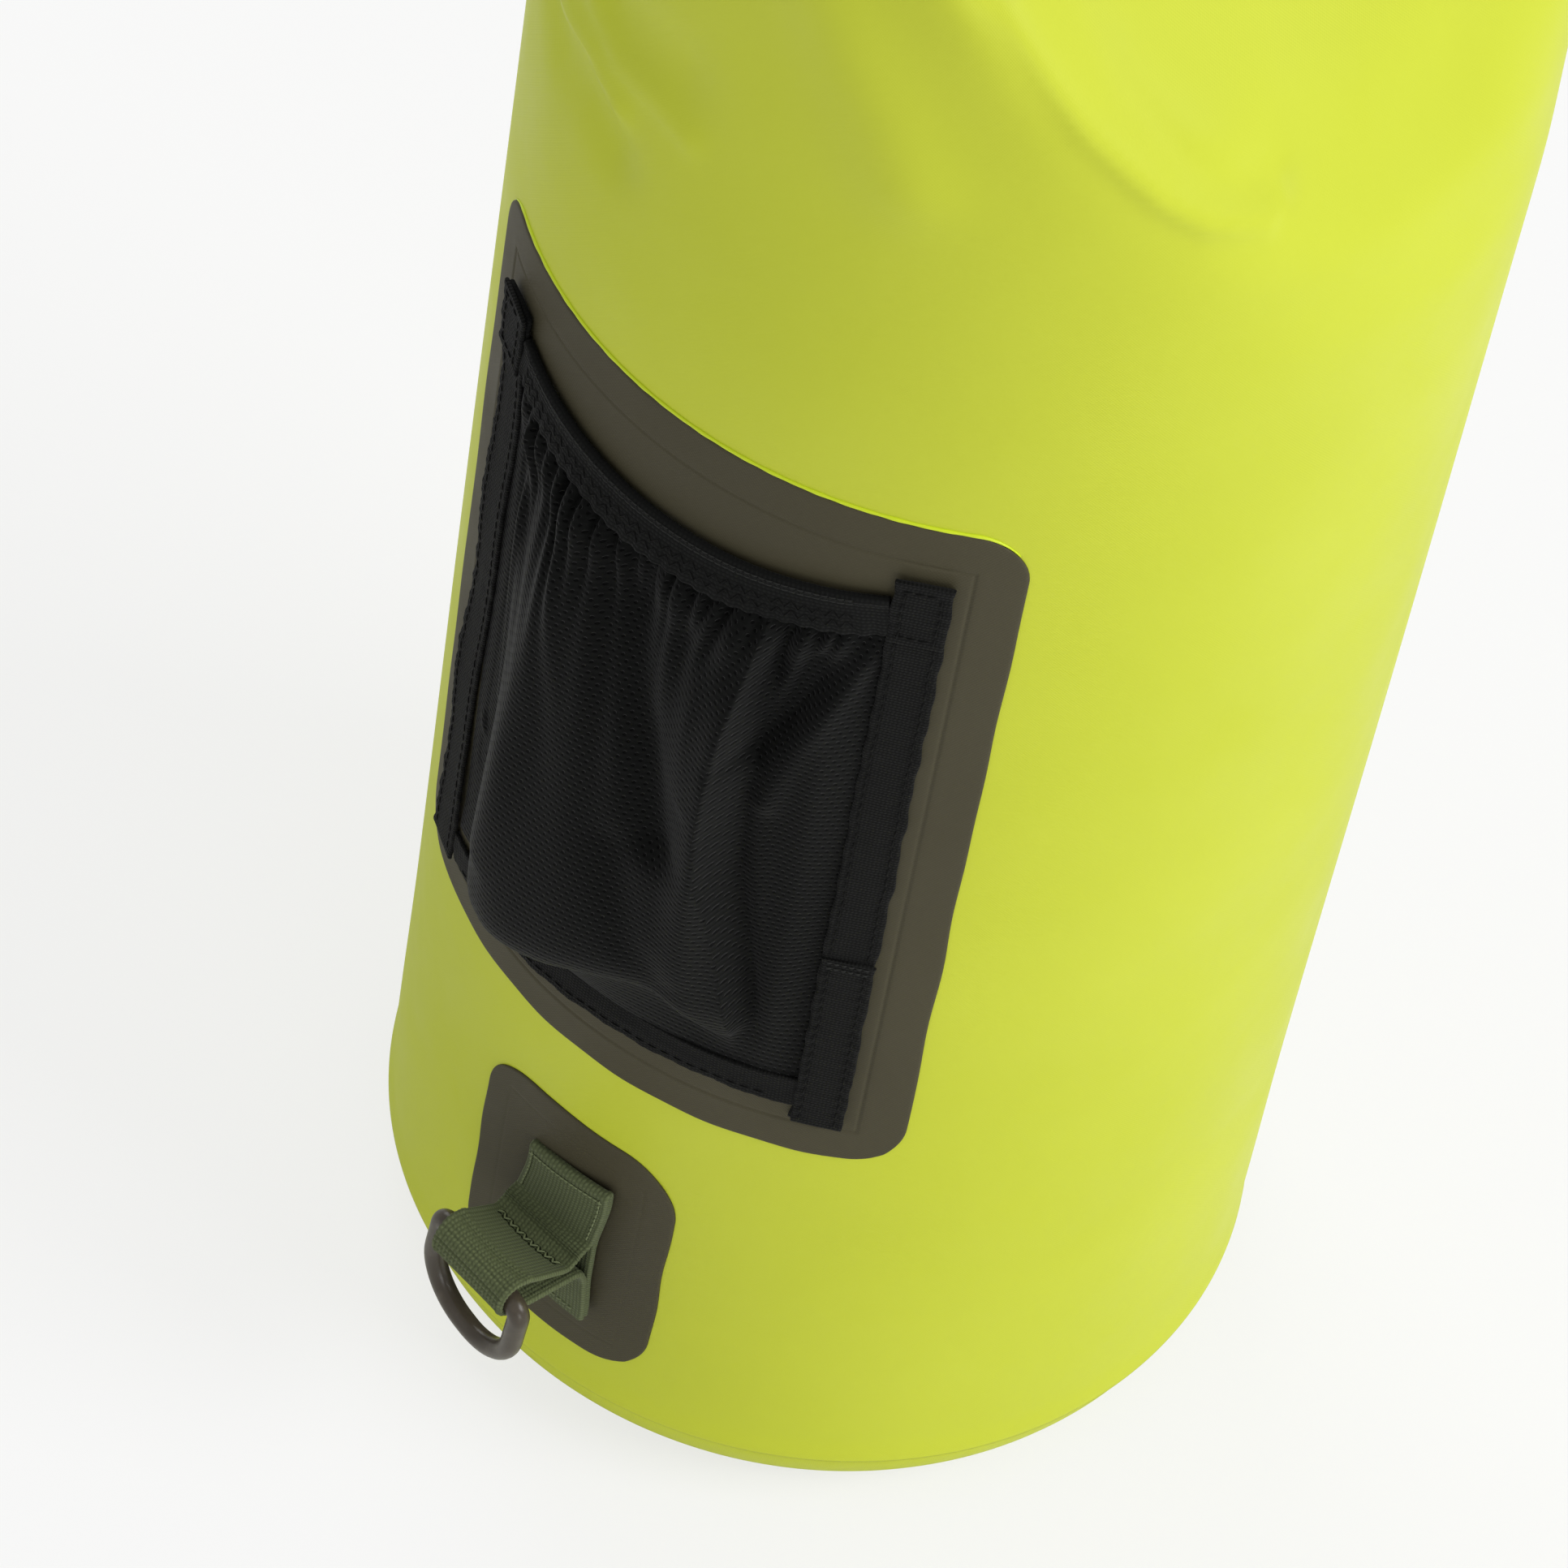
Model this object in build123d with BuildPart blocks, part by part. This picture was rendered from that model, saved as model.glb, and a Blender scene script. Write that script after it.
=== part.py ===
"""Roll-top stuff sack of coated fabric, closed: its top is rolled on a stiffener and
the two ends are bent up and buckled over it into a carrying handle.

Millimetres, +Z up, origin at the centre of the base on the floor. X runs along the
closure, the front faces -Y, and the side with the mesh pocket and ring faces -X.
"""
from build123d import *
import os
from math import cos, degrees, pi, radians, sin, sqrt

os.makedirs("parts", exist_ok=True)

# ---- driving dimensions -------------------------------------------------------
# tube of fabric
bag_radius = 110.0
fabric = 1.5            # wall of the tube
base_fabric = 2.0       # wall of the base panel
base_edge = 22.0        # radius of the rounded bottom edge
base_flange = 18.0      # height of the base's welded rim inside the tube
shoulder_z = 440.0      # where the round tube starts to flatten
neck_z = 545.0          # where it has become flat
neck_half_depth = 7.0
neck_inset = 2.0        # the flat neck is this much narrower than the tube on each side
seam_width = 20.0
seam_thick = 0.8

# clearances
lay = 0.1               # between pieces that are welded or sewn flat on each other
clear = 0.3             # between a piece that moves or is gathered and its seat

# welded patches, on the side that faces -X
patch_thick = 1.0
patch_width = 158.0
patch_height = 220.0
patch_mid_z = 256.5
patch_corner = 13.0
weld_inset = 11.5       # from the patch's edge to its pressed weld line
weld_width = 1.2
weld_depth = 0.3
low_patch_width = 60.0
low_patch_height = 84.0
low_patch_mid_z = 78.3
low_patch_corner = 16.5

# mesh pocket
tape = 1.2              # thickness of the woven binding tape
tape_width = 13.0
pocket_half_arc = 64.5  # from the middle of the pocket to the tape's outer edge
pocket_z = 160.0
pocket_top_z = 351.0
hem_tape_z = 163.0
hem_tape_width = 10.0
fold_height = 19.5      # folded-over upper end of the side tapes
splice_height = 62.0    # second length of tape at the lower front end
fold_tape = 0.9
elastic_width = 17.5
elastic_top_z = 345.0
elastic_thick = 1.6
mesh_thick = 1.4
mouth_bulge = 7.6       # how far the gathered top stands out in the middle
belly_bulge = 17.0      # how far the pocket sags out in the middle
belly_z = 204.0
belly_foot = 12.5       # bulge half way between the belly and the lower hem
hem_bulge = 2.1

# webbing and rings
webbing = 1.5
webbing_width = 26.0
ring_wire = 5.5
ring_play = 0.3         # each side, between the webbing and the ring's corners
ring_height = 28.0      # from the bar's centre line to that of the bow
ring_top_corner = 3.2
ring_bow_corner = 15.4
bar_clear = 0.35
tab_z = 77.5            # where the loop leaves the lower tab
tab_up = 25.5           # flat plies above and below that line
tab_down = 24.0
tab_hem = 6.0           # folded and stitched top end of the tab
tab_reach = 23.5        # from the stitch line to the ring's bar
tab_rise = 20.0         # degrees
tab_yaw = 5.0           # degrees
upper_tab_reach = 16.0
upper_tab_drop = 50.0   # degrees
upper_tab_height = 28.0

# rolled closure
ply = 2.0               # two layers of fabric, heat welded at the mouth
ply_gap = 0.3
roll_turns = 3
roll_first_radius = 2.6
roll_half_flat = 6.0
roll_straight = 44.0    # half of the straight stretch
roll_overhang = 0.5     # how far the bent ends stand out past the tube
strip_thick = 2.4
strip_width = 14.0

# handle and side-release buckle
handle_rise = 6.0       # webbing that goes straight up out of the roll's ends
handle_bend = 24.0
eye_length = 15.0       # doubled webbing before each buckle bar
buckle_width = 34.0
buckle_thick = 10.0
socket_front = 6.0
socket_back = -20.0
socket_depth = 24.0     # of the hollow that takes the plug
socket_half_hollow = 14.2
socket_hollow_high = 6.6
window_length = 10.0
window_x = -4.0
frame_length = 14.0     # of the webbing frame behind each half
bar_thick = 3.6
plug_block = 11.0
tongue_length = 20.0
tongue_width = 5.0
tongue_thick = 5.2
arm_root_y = 9.5
arm_root_radius = 1.8
arm_neck = 1.8          # width where the arm leaves the plug, narrower than its root
arm_thick = 5.4
arm_tip_x = -8.6
edge_round = 1.2
bar_round = 1.5
tip_round = 0.4

# ---- worked out from them ----------------------------------------------------
patch_out = bag_radius + lay + patch_thick
tape_in = patch_out + lay
tape_out = tape_in + tape
mesh_half_arc = pocket_half_arc - tape_width - lay
elastic_z = elastic_top_z - elastic_width
mesh_z = hem_tape_z + hem_tape_width + lay
pitch = ply + ply_gap
roll_out = roll_first_radius + roll_turns * pitch + ply / 2
roll_z = neck_z + clear + roll_out + ply
roll_bend = bag_radius + roll_overhang - roll_out - roll_straight
neck_half_width = bag_radius - neck_inset
closure_half = pi * bag_radius / 2
roll_tip = closure_half - roll_straight - roll_bend * pi / 2
horn_x = roll_straight + roll_bend
tip_z = roll_z + roll_bend + roll_tip
buckle_z = tip_z + handle_rise + handle_bend
bar_radius = ring_wire / 2
eye_hole = bar_radius + bar_clear
socket_bar_x = socket_back + edge_round - frame_length + bar_thick / 2
plug_back = socket_front + clear + plug_block
plug_bar_x = plug_back - edge_round + frame_length - bar_thick / 2


def angle_of(arc):
    """Degrees around the bag for an arc length on the tube."""
    return degrees(arc / bag_radius)


def sector(r_in, r_out, arc_from, arc_to):
    """Band between two radii, over a span of arc about the side that faces -X."""
    a, b = 180 + angle_of(arc_from), 180 + angle_of(arc_to)
    with BuildLine() as outline:
        CenterArc((0, 0), r_in, a, b - a)
        CenterArc((0, 0), r_out, a, b - a)
        for turn in (a, b):
            Line((r_in * cos(radians(turn)), r_in * sin(radians(turn))),
                 (r_out * cos(radians(turn)), r_out * sin(radians(turn))))
    make_face(outline.edges())


def crescent(r_in, bulge, half_arc, edge):
    """Band that lies on radius r_in and bows out by bulge in its middle."""
    turn = radians(angle_of(half_arc))
    ends = [(-r * cos(turn), s * r * sin(turn)) for s in (1, -1) for r in (r_in, r_in + edge)]
    with BuildLine() as outline:
        ThreePointArc(ends[0], (-r_in, 0), ends[2])
        ThreePointArc(ends[1], (-r_in - bulge, 0), ends[3])
        Line(ends[0], ends[1])
        Line(ends[2], ends[3])
    make_face(outline.edges())


def eye_profile(reach, hole, root=webbing):
    """Side view of doubled webbing: from its stitching at 0 to the eye round a bar."""
    Circle(root)
    with Locations((reach, 0)):
        Circle(hole + webbing)
    make_hull()
    with Locations((reach, 0)):
        Circle(hole, mode=Mode.SUBTRACT)
    with BuildLine() as slot:
        Polyline((reach / 2, 0), (reach, hole), (reach, -hole), (reach / 2, 0))
    make_face(slot.edges(), mode=Mode.SUBTRACT)


def ring_path(plane):
    """Centre line of a D-ring, bar on the origin, bow hanging along -y of the plane."""
    half = webbing_width / 2 + ring_play + ring_top_corner
    with BuildLine(plane) as path:
        FilletPolyline(
            (half, 0), (half, -ring_height), (-half, -ring_height), (-half, 0), close=True,
            radius=[ring_top_corner, ring_bow_corner, ring_bow_corner, ring_top_corner])
    return path.line


def finish(name, builder):
    builder.part.label = name
    export_step(builder.part, f"parts/{name}.step")


# ---- tube and shoulder -------------------------------------------------------
def between(round_size, flat_size, z):
    """A half size of the flattening tube at height z, a cosine step from round to flat."""
    share = min(max((z - shoulder_z) / (neck_z - shoulder_z), 0), 1)
    return flat_size + (round_size - flat_size) * (1 + cos(pi * share)) / 2


def tube_section(z, inset):
    Ellipse(between(bag_radius, neck_half_width, z) - inset,
            between(bag_radius, neck_half_depth, z) - inset)


ear_top = roll_z + roll_bend
cut_radius = roll_bend + roll_out + clear
shoulder_steps = 6
ear_steps = 4
levels = [shoulder_z + (neck_z - shoulder_z) * k / shoulder_steps for k in range(shoulder_steps)]
levels += [neck_z + (ear_top - neck_z) * k / ear_steps for k in range(ear_steps + 1)]

with BuildPart() as body_shell:
    with BuildSketch(Plane.XY.offset(base_edge)):
        Circle(bag_radius)
    extrude(amount=shoulder_z - base_edge)
    for z in levels:
        with BuildSketch(Plane.XY.offset(z)):
            tube_section(z, 0)
    loft()
    with BuildSketch(Plane.XY.offset(base_edge)):
        Circle(bag_radius - fabric)
    extrude(amount=shoulder_z - base_edge, mode=Mode.SUBTRACT)
    for z in levels:
        with BuildSketch(Plane.XY.offset(z)):
            tube_section(z, fabric)
    loft(mode=Mode.SUBTRACT)
    # the neck ends where the roll lies on it, up both bent ends
    with BuildSketch(Plane.XZ):
        with BuildLine():
            low = ear_top - cut_radius
            side = roll_straight + cut_radius
            Line((-roll_straight, low), (roll_straight, low))
            RadiusArc((roll_straight, low), (side, ear_top), -cut_radius)
            Polyline((side, ear_top), (side, ear_top + fabric), (-side, ear_top + fabric),
                     (-side, ear_top))
            RadiusArc((-side, ear_top), (-roll_straight, low), -cut_radius)
        make_face()
    extrude(amount=bag_radius, both=True, mode=Mode.SUBTRACT)
finish("body_shell", body_shell)

with BuildPart() as base_panel:
    rim_out = bag_radius - fabric - lay
    rim_in = rim_out - fabric
    flat = bag_radius - base_edge
    inner_edge = base_edge - base_fabric
    meet_z = base_edge - sqrt(inner_edge ** 2 - (rim_in - flat) ** 2)
    half = sqrt(0.5)
    mid = (rim_in - flat) / 2
    mid_z = base_edge - sqrt(inner_edge ** 2 - mid ** 2)
    with BuildSketch(Plane.XZ):
        with BuildLine():
            Line((0, 0), (flat, 0))
            ThreePointArc((flat, 0), (flat + base_edge * half, base_edge * (1 - half)),
                          (bag_radius, base_edge))
            Polyline((bag_radius, base_edge), (rim_out, base_edge),
                     (rim_out, base_edge + base_flange), (rim_in, base_edge + base_flange),
                     (rim_in, meet_z))
            ThreePointArc((rim_in, meet_z), (flat + mid, mid_z), (flat, base_fabric))
            Polyline((flat, base_fabric), (0, base_fabric), (0, 0))
        make_face()
    revolve(axis=Axis.Z)
finish("base_panel", base_panel)

with BuildPart() as back_seam:
    seam_in = bag_radius + lay
    quarter = pi * bag_radius / 2
    with BuildSketch(Plane.XY.offset(base_edge)):
        sector(seam_in, seam_in + seam_thick, -quarter - seam_width / 2, -quarter + seam_width / 2)
    extrude(amount=shoulder_z - base_edge)
finish("back_seam", back_seam)


# ---- welded patches ----------------------------------------------------------
def patch(width, height, mid_z, corner):
    """Rounded sheet on the tube, with the pressed line of its weld."""
    spare = 2 * patch_thick
    with BuildPart() as sheet:
        with BuildSketch(Plane.XY.offset(mid_z - height / 2 - spare)):
            sector(bag_radius + lay, patch_out, -width / 2 - spare, width / 2 + spare)
        extrude(amount=height + 2 * spare)
        flat_width = 2 * patch_out * sin(radians(angle_of(width / 2)))
        with BuildSketch(Plane((0, 0, mid_z), x_dir=(0, 1, 0), z_dir=(-1, 0, 0))):
            RectangleRounded(flat_width, height, corner)
        extrude(amount=2 * bag_radius, mode=Mode.INTERSECT)
        groove_in = patch_out - weld_depth
        for inset, kept in ((weld_inset, Mode.SUBTRACT), (weld_inset + weld_width, Mode.ADD)):
            with BuildSketch(Plane.XY.offset(mid_z - height / 2 + inset)):
                sector(groove_in, patch_out, inset - width / 2, width / 2 - inset)
            extrude(amount=height - 2 * inset, mode=kept)
    return sheet


pocket_patch = patch(patch_width, patch_height, patch_mid_z, patch_corner)
finish("pocket_patch", pocket_patch)
lower_patch = patch(low_patch_width, low_patch_height, low_patch_mid_z, low_patch_corner)
finish("lower_patch", lower_patch)


# ---- mesh pocket -------------------------------------------------------------
def tape_strip(r_in, thick, arc_from, arc_to, z_from, z_to):
    with BuildPart() as strip:
        with BuildSketch(Plane.XY.offset(z_from)):
            sector(r_in, r_in + thick, arc_from, arc_to)
        extrude(amount=z_to - z_from)
    return strip


tape_inner_arc = pocket_half_arc - tape_width
for name, sign in (("left", -1), ("right", 1)):
    arcs = sorted((sign * tape_inner_arc, sign * pocket_half_arc))
    binding = tape_strip(tape_in, tape, *arcs, pocket_z, pocket_top_z)
    finish(f"binding_{name}", binding)
    folded = tape_strip(tape_out + lay, fold_tape, *arcs, pocket_top_z - fold_height, pocket_top_z)
    finish(f"binding_fold_{name}", folded)
binding_bottom = tape_strip(
    tape_in, tape, -mesh_half_arc, mesh_half_arc, hem_tape_z, hem_tape_z + hem_tape_width)
finish("binding_bottom", binding_bottom)
binding_splice = tape_strip(
    tape_out + lay, fold_tape, tape_inner_arc, pocket_half_arc, pocket_z, pocket_z + splice_height)
finish("binding_splice", binding_splice)

belly_levels = [
    (mesh_z, hem_bulge),
    ((mesh_z + belly_z) / 2, belly_foot),
    (belly_z, belly_bulge),
    ((belly_z + elastic_z) / 2, (belly_bulge + mouth_bulge) / 2),
    (elastic_z - lay, mouth_bulge),
]
with BuildPart() as pocket_mesh:
    for z, bulge in belly_levels:
        with BuildSketch(Plane.XY.offset(z)):
            crescent(tape_in, bulge, mesh_half_arc, mesh_thick)
    loft()
    for z, bulge in belly_levels:
        with BuildSketch(Plane.XY.offset(z)):
            crescent(tape_in - mesh_thick, bulge, mesh_half_arc - mesh_thick, mesh_thick / 2)
    loft(mode=Mode.SUBTRACT)
finish("pocket_mesh", pocket_mesh)

with BuildPart() as pocket_elastic:
    for z in (elastic_z, elastic_top_z):
        with BuildSketch(Plane.XY.offset(z)):
            crescent(tape_in, mouth_bulge, mesh_half_arc, elastic_thick)
    loft()
    for z in (elastic_z, elastic_top_z):
        with BuildSketch(Plane.XY.offset(z)):
            crescent(tape_in - elastic_thick, mouth_bulge, mesh_half_arc - elastic_thick, lay)
    loft(mode=Mode.SUBTRACT)
finish("pocket_elastic", pocket_elastic)


# ---- ring tab and lower ring -------------------------------------------------
tab_in = patch_out + lay
tab_out = tab_in + webbing
with BuildPart() as tab_base:
    with BuildSketch(Plane.XY.offset(tab_z - tab_down)):
        sector(tab_in, tab_out, -webbing_width / 2, webbing_width / 2)
    extrude(amount=tab_down + tab_up)
    with BuildSketch(Plane.XY.offset(tab_z + tab_up - tab_hem)):
        sector(tab_in, tab_out + webbing, -webbing_width / 2, webbing_width / 2)
    extrude(amount=tab_hem)
finish("tab_base", tab_base)


def side_plane(pivot, yaw, rise):
    """Plane of a tab's side view: x along the doubled webbing, its normal along the bar."""
    out = Vector(-cos(radians(yaw)), sin(radians(yaw)), 0)
    bar = Vector(-sin(radians(yaw)), -cos(radians(yaw)), 0)
    along = out * cos(radians(rise)) + Vector(0, 0, sin(radians(rise)))
    return Plane(pivot, x_dir=along, z_dir=bar)


def ring_plane(tab, reach):
    """Plane in which a ring hangs from the eye of a tab."""
    across = Vector(-tab.z_dir.X, -tab.z_dir.Y, 0)
    return Plane(tab.origin + tab.x_dir * reach, x_dir=across,
                 z_dir=across.cross(Vector(0, 0, 1)))


def webbing_eye(plane, reach, hole):
    with BuildPart() as eye:
        with BuildSketch(plane):
            eye_profile(reach, hole)
        extrude(amount=webbing_width / 2, both=True)
    return eye


def ring(plane):
    with BuildPart() as wire:
        path = ring_path(plane)
        with BuildSketch(Plane(path @ 0, z_dir=path % 0)):
            Circle(bar_radius)
        sweep(path=path)
    return wire


yaw_swing = webbing_width / 2 * sin(radians(tab_yaw))
tab_edge_x = sqrt(tab_out ** 2 - (webbing_width / 2) ** 2)
tab_pivot_x = -(tab_edge_x + webbing + clear + yaw_swing)
lower_tab = side_plane((tab_pivot_x, 0, tab_z), tab_yaw, tab_rise)
finish("tab_loop", webbing_eye(lower_tab, tab_reach, eye_hole))
lower_ring = ring(ring_plane(lower_tab, tab_reach))
finish("lower_ring", lower_ring)


# ---- rolled closure ----------------------------------------------------------
def roll_layer(shift):
    """One face line of the rolled fabric: half turns joined by straight runs."""
    level = roll_first_radius + shift
    for turn in range(roll_turns):
        right, left = level + turn * pitch, level + (turn + 0.5) * pitch
        CenterArc((roll_half_flat, 0), right, -90, 180)
        Line((roll_half_flat, right), (-roll_half_flat, right))
        CenterArc((-roll_half_flat, -pitch / 2), left, 90, 180)
        Line((-roll_half_flat, -pitch / 2 - left), (roll_half_flat, -pitch / 2 - left))


with BuildSketch() as roll_section:
    with BuildLine() as spiral:
        for face in (-ply / 2, ply / 2):
            roll_layer(face)
        start = -roll_first_radius
        end = -(roll_first_radius + roll_turns * pitch)
        for level in (start, end):
            Line((roll_half_flat, level - ply / 2), (roll_half_flat, level + ply / 2))
    make_face()


def along_roll(section, tip_extra=0):
    """Carries a section along the roll: straight, up round both bends, and up the ends."""
    across = (0, 1, 0)
    bend_axis = Axis((roll_straight, 0, roll_z + roll_bend), (0, -1, 0))
    with BuildPart() as rolled:
        with BuildSketch(Plane((roll_straight, 0, roll_z), x_dir=across, z_dir=(1, 0, 0))):
            add(section)
        extrude(amount=-roll_straight)
        with BuildSketch(Plane((roll_straight, 0, roll_z), x_dir=across, z_dir=(1, 0, 0))):
            add(section)
        revolve(axis=bend_axis, revolution_arc=90)
        with BuildSketch(Plane((horn_x, 0, roll_z + roll_bend), x_dir=across, z_dir=(0, 0, 1))):
            add(section)
        extrude(amount=roll_tip + tip_extra)
        mirror(about=Plane.YZ)
    return rolled


finish("neck_roll", along_roll(roll_section.sketch))
with BuildSketch() as strip_section:
    Rectangle(strip_width, strip_thick)
finish("stiffener", along_roll(strip_section.sketch))


# ---- upper tab and ring, on the outside of the bent end over the pocket -------
horn_face_x = -(horn_x + roll_out)
upper_tab_z = roll_z + roll_bend + roll_tip / 2
upper_pivot_x = horn_face_x - lay - 2 * webbing - clear
upper_tab = side_plane((upper_pivot_x, 0, upper_tab_z), 0, -upper_tab_drop)
with BuildPart() as upper_tab_base:
    with BuildSketch(Plane.XY.offset(upper_tab_z - upper_tab_height / 2)):
        with Locations((horn_face_x - lay - webbing / 2, 0)):
            Rectangle(webbing, webbing_width)
    extrude(amount=upper_tab_height)
finish("upper_tab_base", upper_tab_base)
finish("upper_tab_loop", webbing_eye(upper_tab, upper_tab_reach, eye_hole))
finish("upper_ring", ring(ring_plane(upper_tab, upper_tab_reach)))


# ---- handle webbing ----------------------------------------------------------
bar_eye = bar_thick / 2 + bar_clear


def handle_webbing(sign, bar_x):
    """Strip that leaves a bent end upwards, turns over the bag and loops round a bar."""
    bend_x = horn_x - handle_bend
    with BuildPart() as strap:
        with BuildSketch(Plane.XZ):
            with Locations((sign * horn_x, tip_z + handle_rise / 2)):
                Rectangle(webbing, handle_rise)
            with BuildLine() as turn:
                for r in (handle_bend - webbing / 2, handle_bend + webbing / 2):
                    CenterArc((sign * bend_x, tip_z + handle_rise), r, 90 - 45 * (1 + sign), 90)
                for end in ((sign, 0), (0, 1)):
                    Line(*[(sign * bend_x + end[0] * r, tip_z + handle_rise + end[1] * r)
                           for r in (handle_bend - webbing / 2, handle_bend + webbing / 2)])
            make_face(turn.edges())
            run = bend_x - abs(bar_x) - eye_length
            with Locations((sign * (bend_x - run / 2), buckle_z)):
                Rectangle(run, webbing)
        extrude(amount=webbing_width / 2, both=True)
        root = sign * (abs(bar_x) + eye_length)
        with BuildSketch(Plane((root, 0, buckle_z), x_dir=(-sign, 0, 0), z_dir=(0, 1, 0))):
            eye_profile(eye_length, bar_eye)
        extrude(amount=webbing_width / 2, both=True)
    return strap


finish("handle_webbing_left", handle_webbing(-1, socket_bar_x))
finish("handle_webbing_right", handle_webbing(1, plug_bar_x))


# ---- side-release buckle ------------------------------------------------------
buckle_level = Plane.XY.offset(buckle_z)
frame_gap = webbing_width + 2 * ring_play


def buckle_frame(block_x, sign):
    """Webbing frame behind a buckle half: two rails and the rounded bar that joins them."""
    with BuildPart() as frame:
        with BuildSketch(buckle_level):
            with Locations((block_x + sign * frame_length / 2, 0)):
                Rectangle(frame_length, buckle_width)
            with Locations((block_x + sign * (frame_length - bar_thick) / 2, 0)):
                Rectangle(frame_length - bar_thick, frame_gap, mode=Mode.SUBTRACT)
        extrude(amount=bar_thick / 2, both=True)
        inner_x, outer_x = sorted((block_x + sign * (frame_length - bar_thick),
                                   block_x + sign * frame_length))
        fillet(frame.edges().filter_by(Axis.Y).filter_by_position(
            Axis.X, inner_x - lay, outer_x + lay), bar_round)
    return frame.part


def buckle_block(x_from, x_to):
    """Moulded block of a buckle half, softened all round."""
    with BuildPart() as block:
        with BuildSketch(buckle_level):
            with Locations(((x_from + x_to) / 2, 0)):
                RectangleRounded(x_to - x_from, buckle_width, edge_round * 2)
        extrude(amount=buckle_thick / 2, both=True)
        fillet(block.faces().filter_by(Axis.Z).edges(), edge_round)
    return block.part


with BuildPart() as buckle_socket:
    add(buckle_block(socket_back, socket_front))
    add(buckle_frame(socket_back + edge_round, -1))
    with Locations((socket_front - socket_depth / 2, 0, buckle_z)):
        Box(socket_depth, 2 * socket_half_hollow, socket_hollow_high, mode=Mode.SUBTRACT)
    with Locations((window_x, 0, buckle_z)):
        Box(window_length, 2 * buckle_width, socket_hollow_high, mode=Mode.SUBTRACT)
finish("buckle_socket", buckle_socket)

plug_front = socket_front + clear
arm_root_x = plug_front + arm_root_radius - clear
with BuildPart() as buckle_plug:
    add(buckle_block(plug_front, plug_back))
    add(buckle_frame(plug_back - edge_round, 1))
    with BuildSketch(buckle_level):
        with Locations((plug_front - tongue_length / 2 + edge_round, 0)):
            RectangleRounded(tongue_length + 2 * edge_round, tongue_width, edge_round)
    extrude(amount=tongue_thick / 2, both=True)
    with BuildSketch(buckle_level):
        with Locations((arm_root_x, arm_root_y), (arm_root_x, -arm_root_y)):
            Circle(arm_root_radius + clear)
        with Locations((plug_front, arm_root_y), (plug_front, -arm_root_y)):
            Rectangle(2 * arm_root_radius, arm_neck + 4 * clear)
    extrude(amount=arm_thick / 2 + clear, both=True, mode=Mode.SUBTRACT)
finish("buckle_plug", buckle_plug)

window_front = window_x + window_length / 2
neck_x = plug_front - 2 * clear
barb_x = window_front - clear
barb_y = buckle_width / 2 - clear
for name, sign in (("right", -1), ("left", 1)):
    with BuildPart() as latch_arm:
        with BuildSketch(buckle_level):
            with Locations((arm_root_x, sign * arm_root_y)):
                Circle(arm_root_radius)
            with BuildLine() as outline:
                Polyline(
                    (arm_root_x, sign * (arm_root_y + arm_neck / 2)),
                    (neck_x, sign * (arm_root_y + arm_neck / 2)),
                    (barb_x, sign * (socket_half_hollow - arm_root_radius)),
                    (barb_x, sign * barb_y),
                    (window_x, sign * barb_y),
                    (arm_tip_x, sign * (socket_half_hollow - edge_round)),
                    (arm_tip_x, sign * (arm_root_y + arm_root_radius)),
                    (barb_x, sign * arm_root_y),
                    (neck_x, sign * (arm_root_y - arm_neck / 2)),
                    (arm_root_x, sign * (arm_root_y - arm_neck / 2)),
                    close=True)
            make_face(outline.edges())
        extrude(amount=arm_thick / 2, both=True)
        tips = latch_arm.edges().filter_by(Axis.Z).group_by(Axis.X)
        fillet(tips[0], tip_round)
    finish(f"latch_arm_{name}", latch_arm)
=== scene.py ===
# %% [markdown]
# # A roll-top stuff sack
# This notebook dresses a finished CAD model of a waterproof sack. The CAD model says where
# everything is; here each piece of cloth, mesh, tape and webbing gets its real surface.
# Every new piece is a function of two parameters worked out on a whole numpy grid.

# %% Load the frame
import bmesh
import bpy
import numpy as np
from mathutils import Matrix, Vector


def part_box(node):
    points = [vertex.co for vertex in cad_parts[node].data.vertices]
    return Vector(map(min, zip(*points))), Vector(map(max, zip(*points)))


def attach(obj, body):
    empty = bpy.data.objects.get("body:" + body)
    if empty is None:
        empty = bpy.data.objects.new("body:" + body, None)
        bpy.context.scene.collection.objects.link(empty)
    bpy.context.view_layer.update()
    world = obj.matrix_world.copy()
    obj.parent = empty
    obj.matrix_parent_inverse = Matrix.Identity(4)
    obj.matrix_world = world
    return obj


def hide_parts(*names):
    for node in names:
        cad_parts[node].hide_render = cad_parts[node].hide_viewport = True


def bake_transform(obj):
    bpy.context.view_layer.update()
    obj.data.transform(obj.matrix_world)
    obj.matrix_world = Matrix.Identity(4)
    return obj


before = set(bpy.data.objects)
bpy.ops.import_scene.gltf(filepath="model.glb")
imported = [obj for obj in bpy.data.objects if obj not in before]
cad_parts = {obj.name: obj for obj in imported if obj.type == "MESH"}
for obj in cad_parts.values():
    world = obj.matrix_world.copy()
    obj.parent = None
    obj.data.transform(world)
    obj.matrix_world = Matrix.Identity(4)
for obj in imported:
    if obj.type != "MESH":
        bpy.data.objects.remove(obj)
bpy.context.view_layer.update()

# %% [markdown]
# ## Sizes
# The sack is a tube of coated cloth. A place on it is given by an arc length, measured round
# the tube from the side that faces -X towards the front, and a height. Lengths are metres.

# %% Sizes of the sack
R = 0.110                   # radius of the tube
BASE_EDGE = 0.022           # rounded bottom edge
NECK_Z = 0.545
NECK_HALF_WIDTH = 0.108
ROLL_Z, ROLL_OUT = 0.5578, 0.0105
ROLL_STRAIGHT, ROLL_BEND, ROLL_TIP = 0.044, 0.056, 0.040823
CLOTH, BASE_CLOTH = 0.0015, 0.0012


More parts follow.
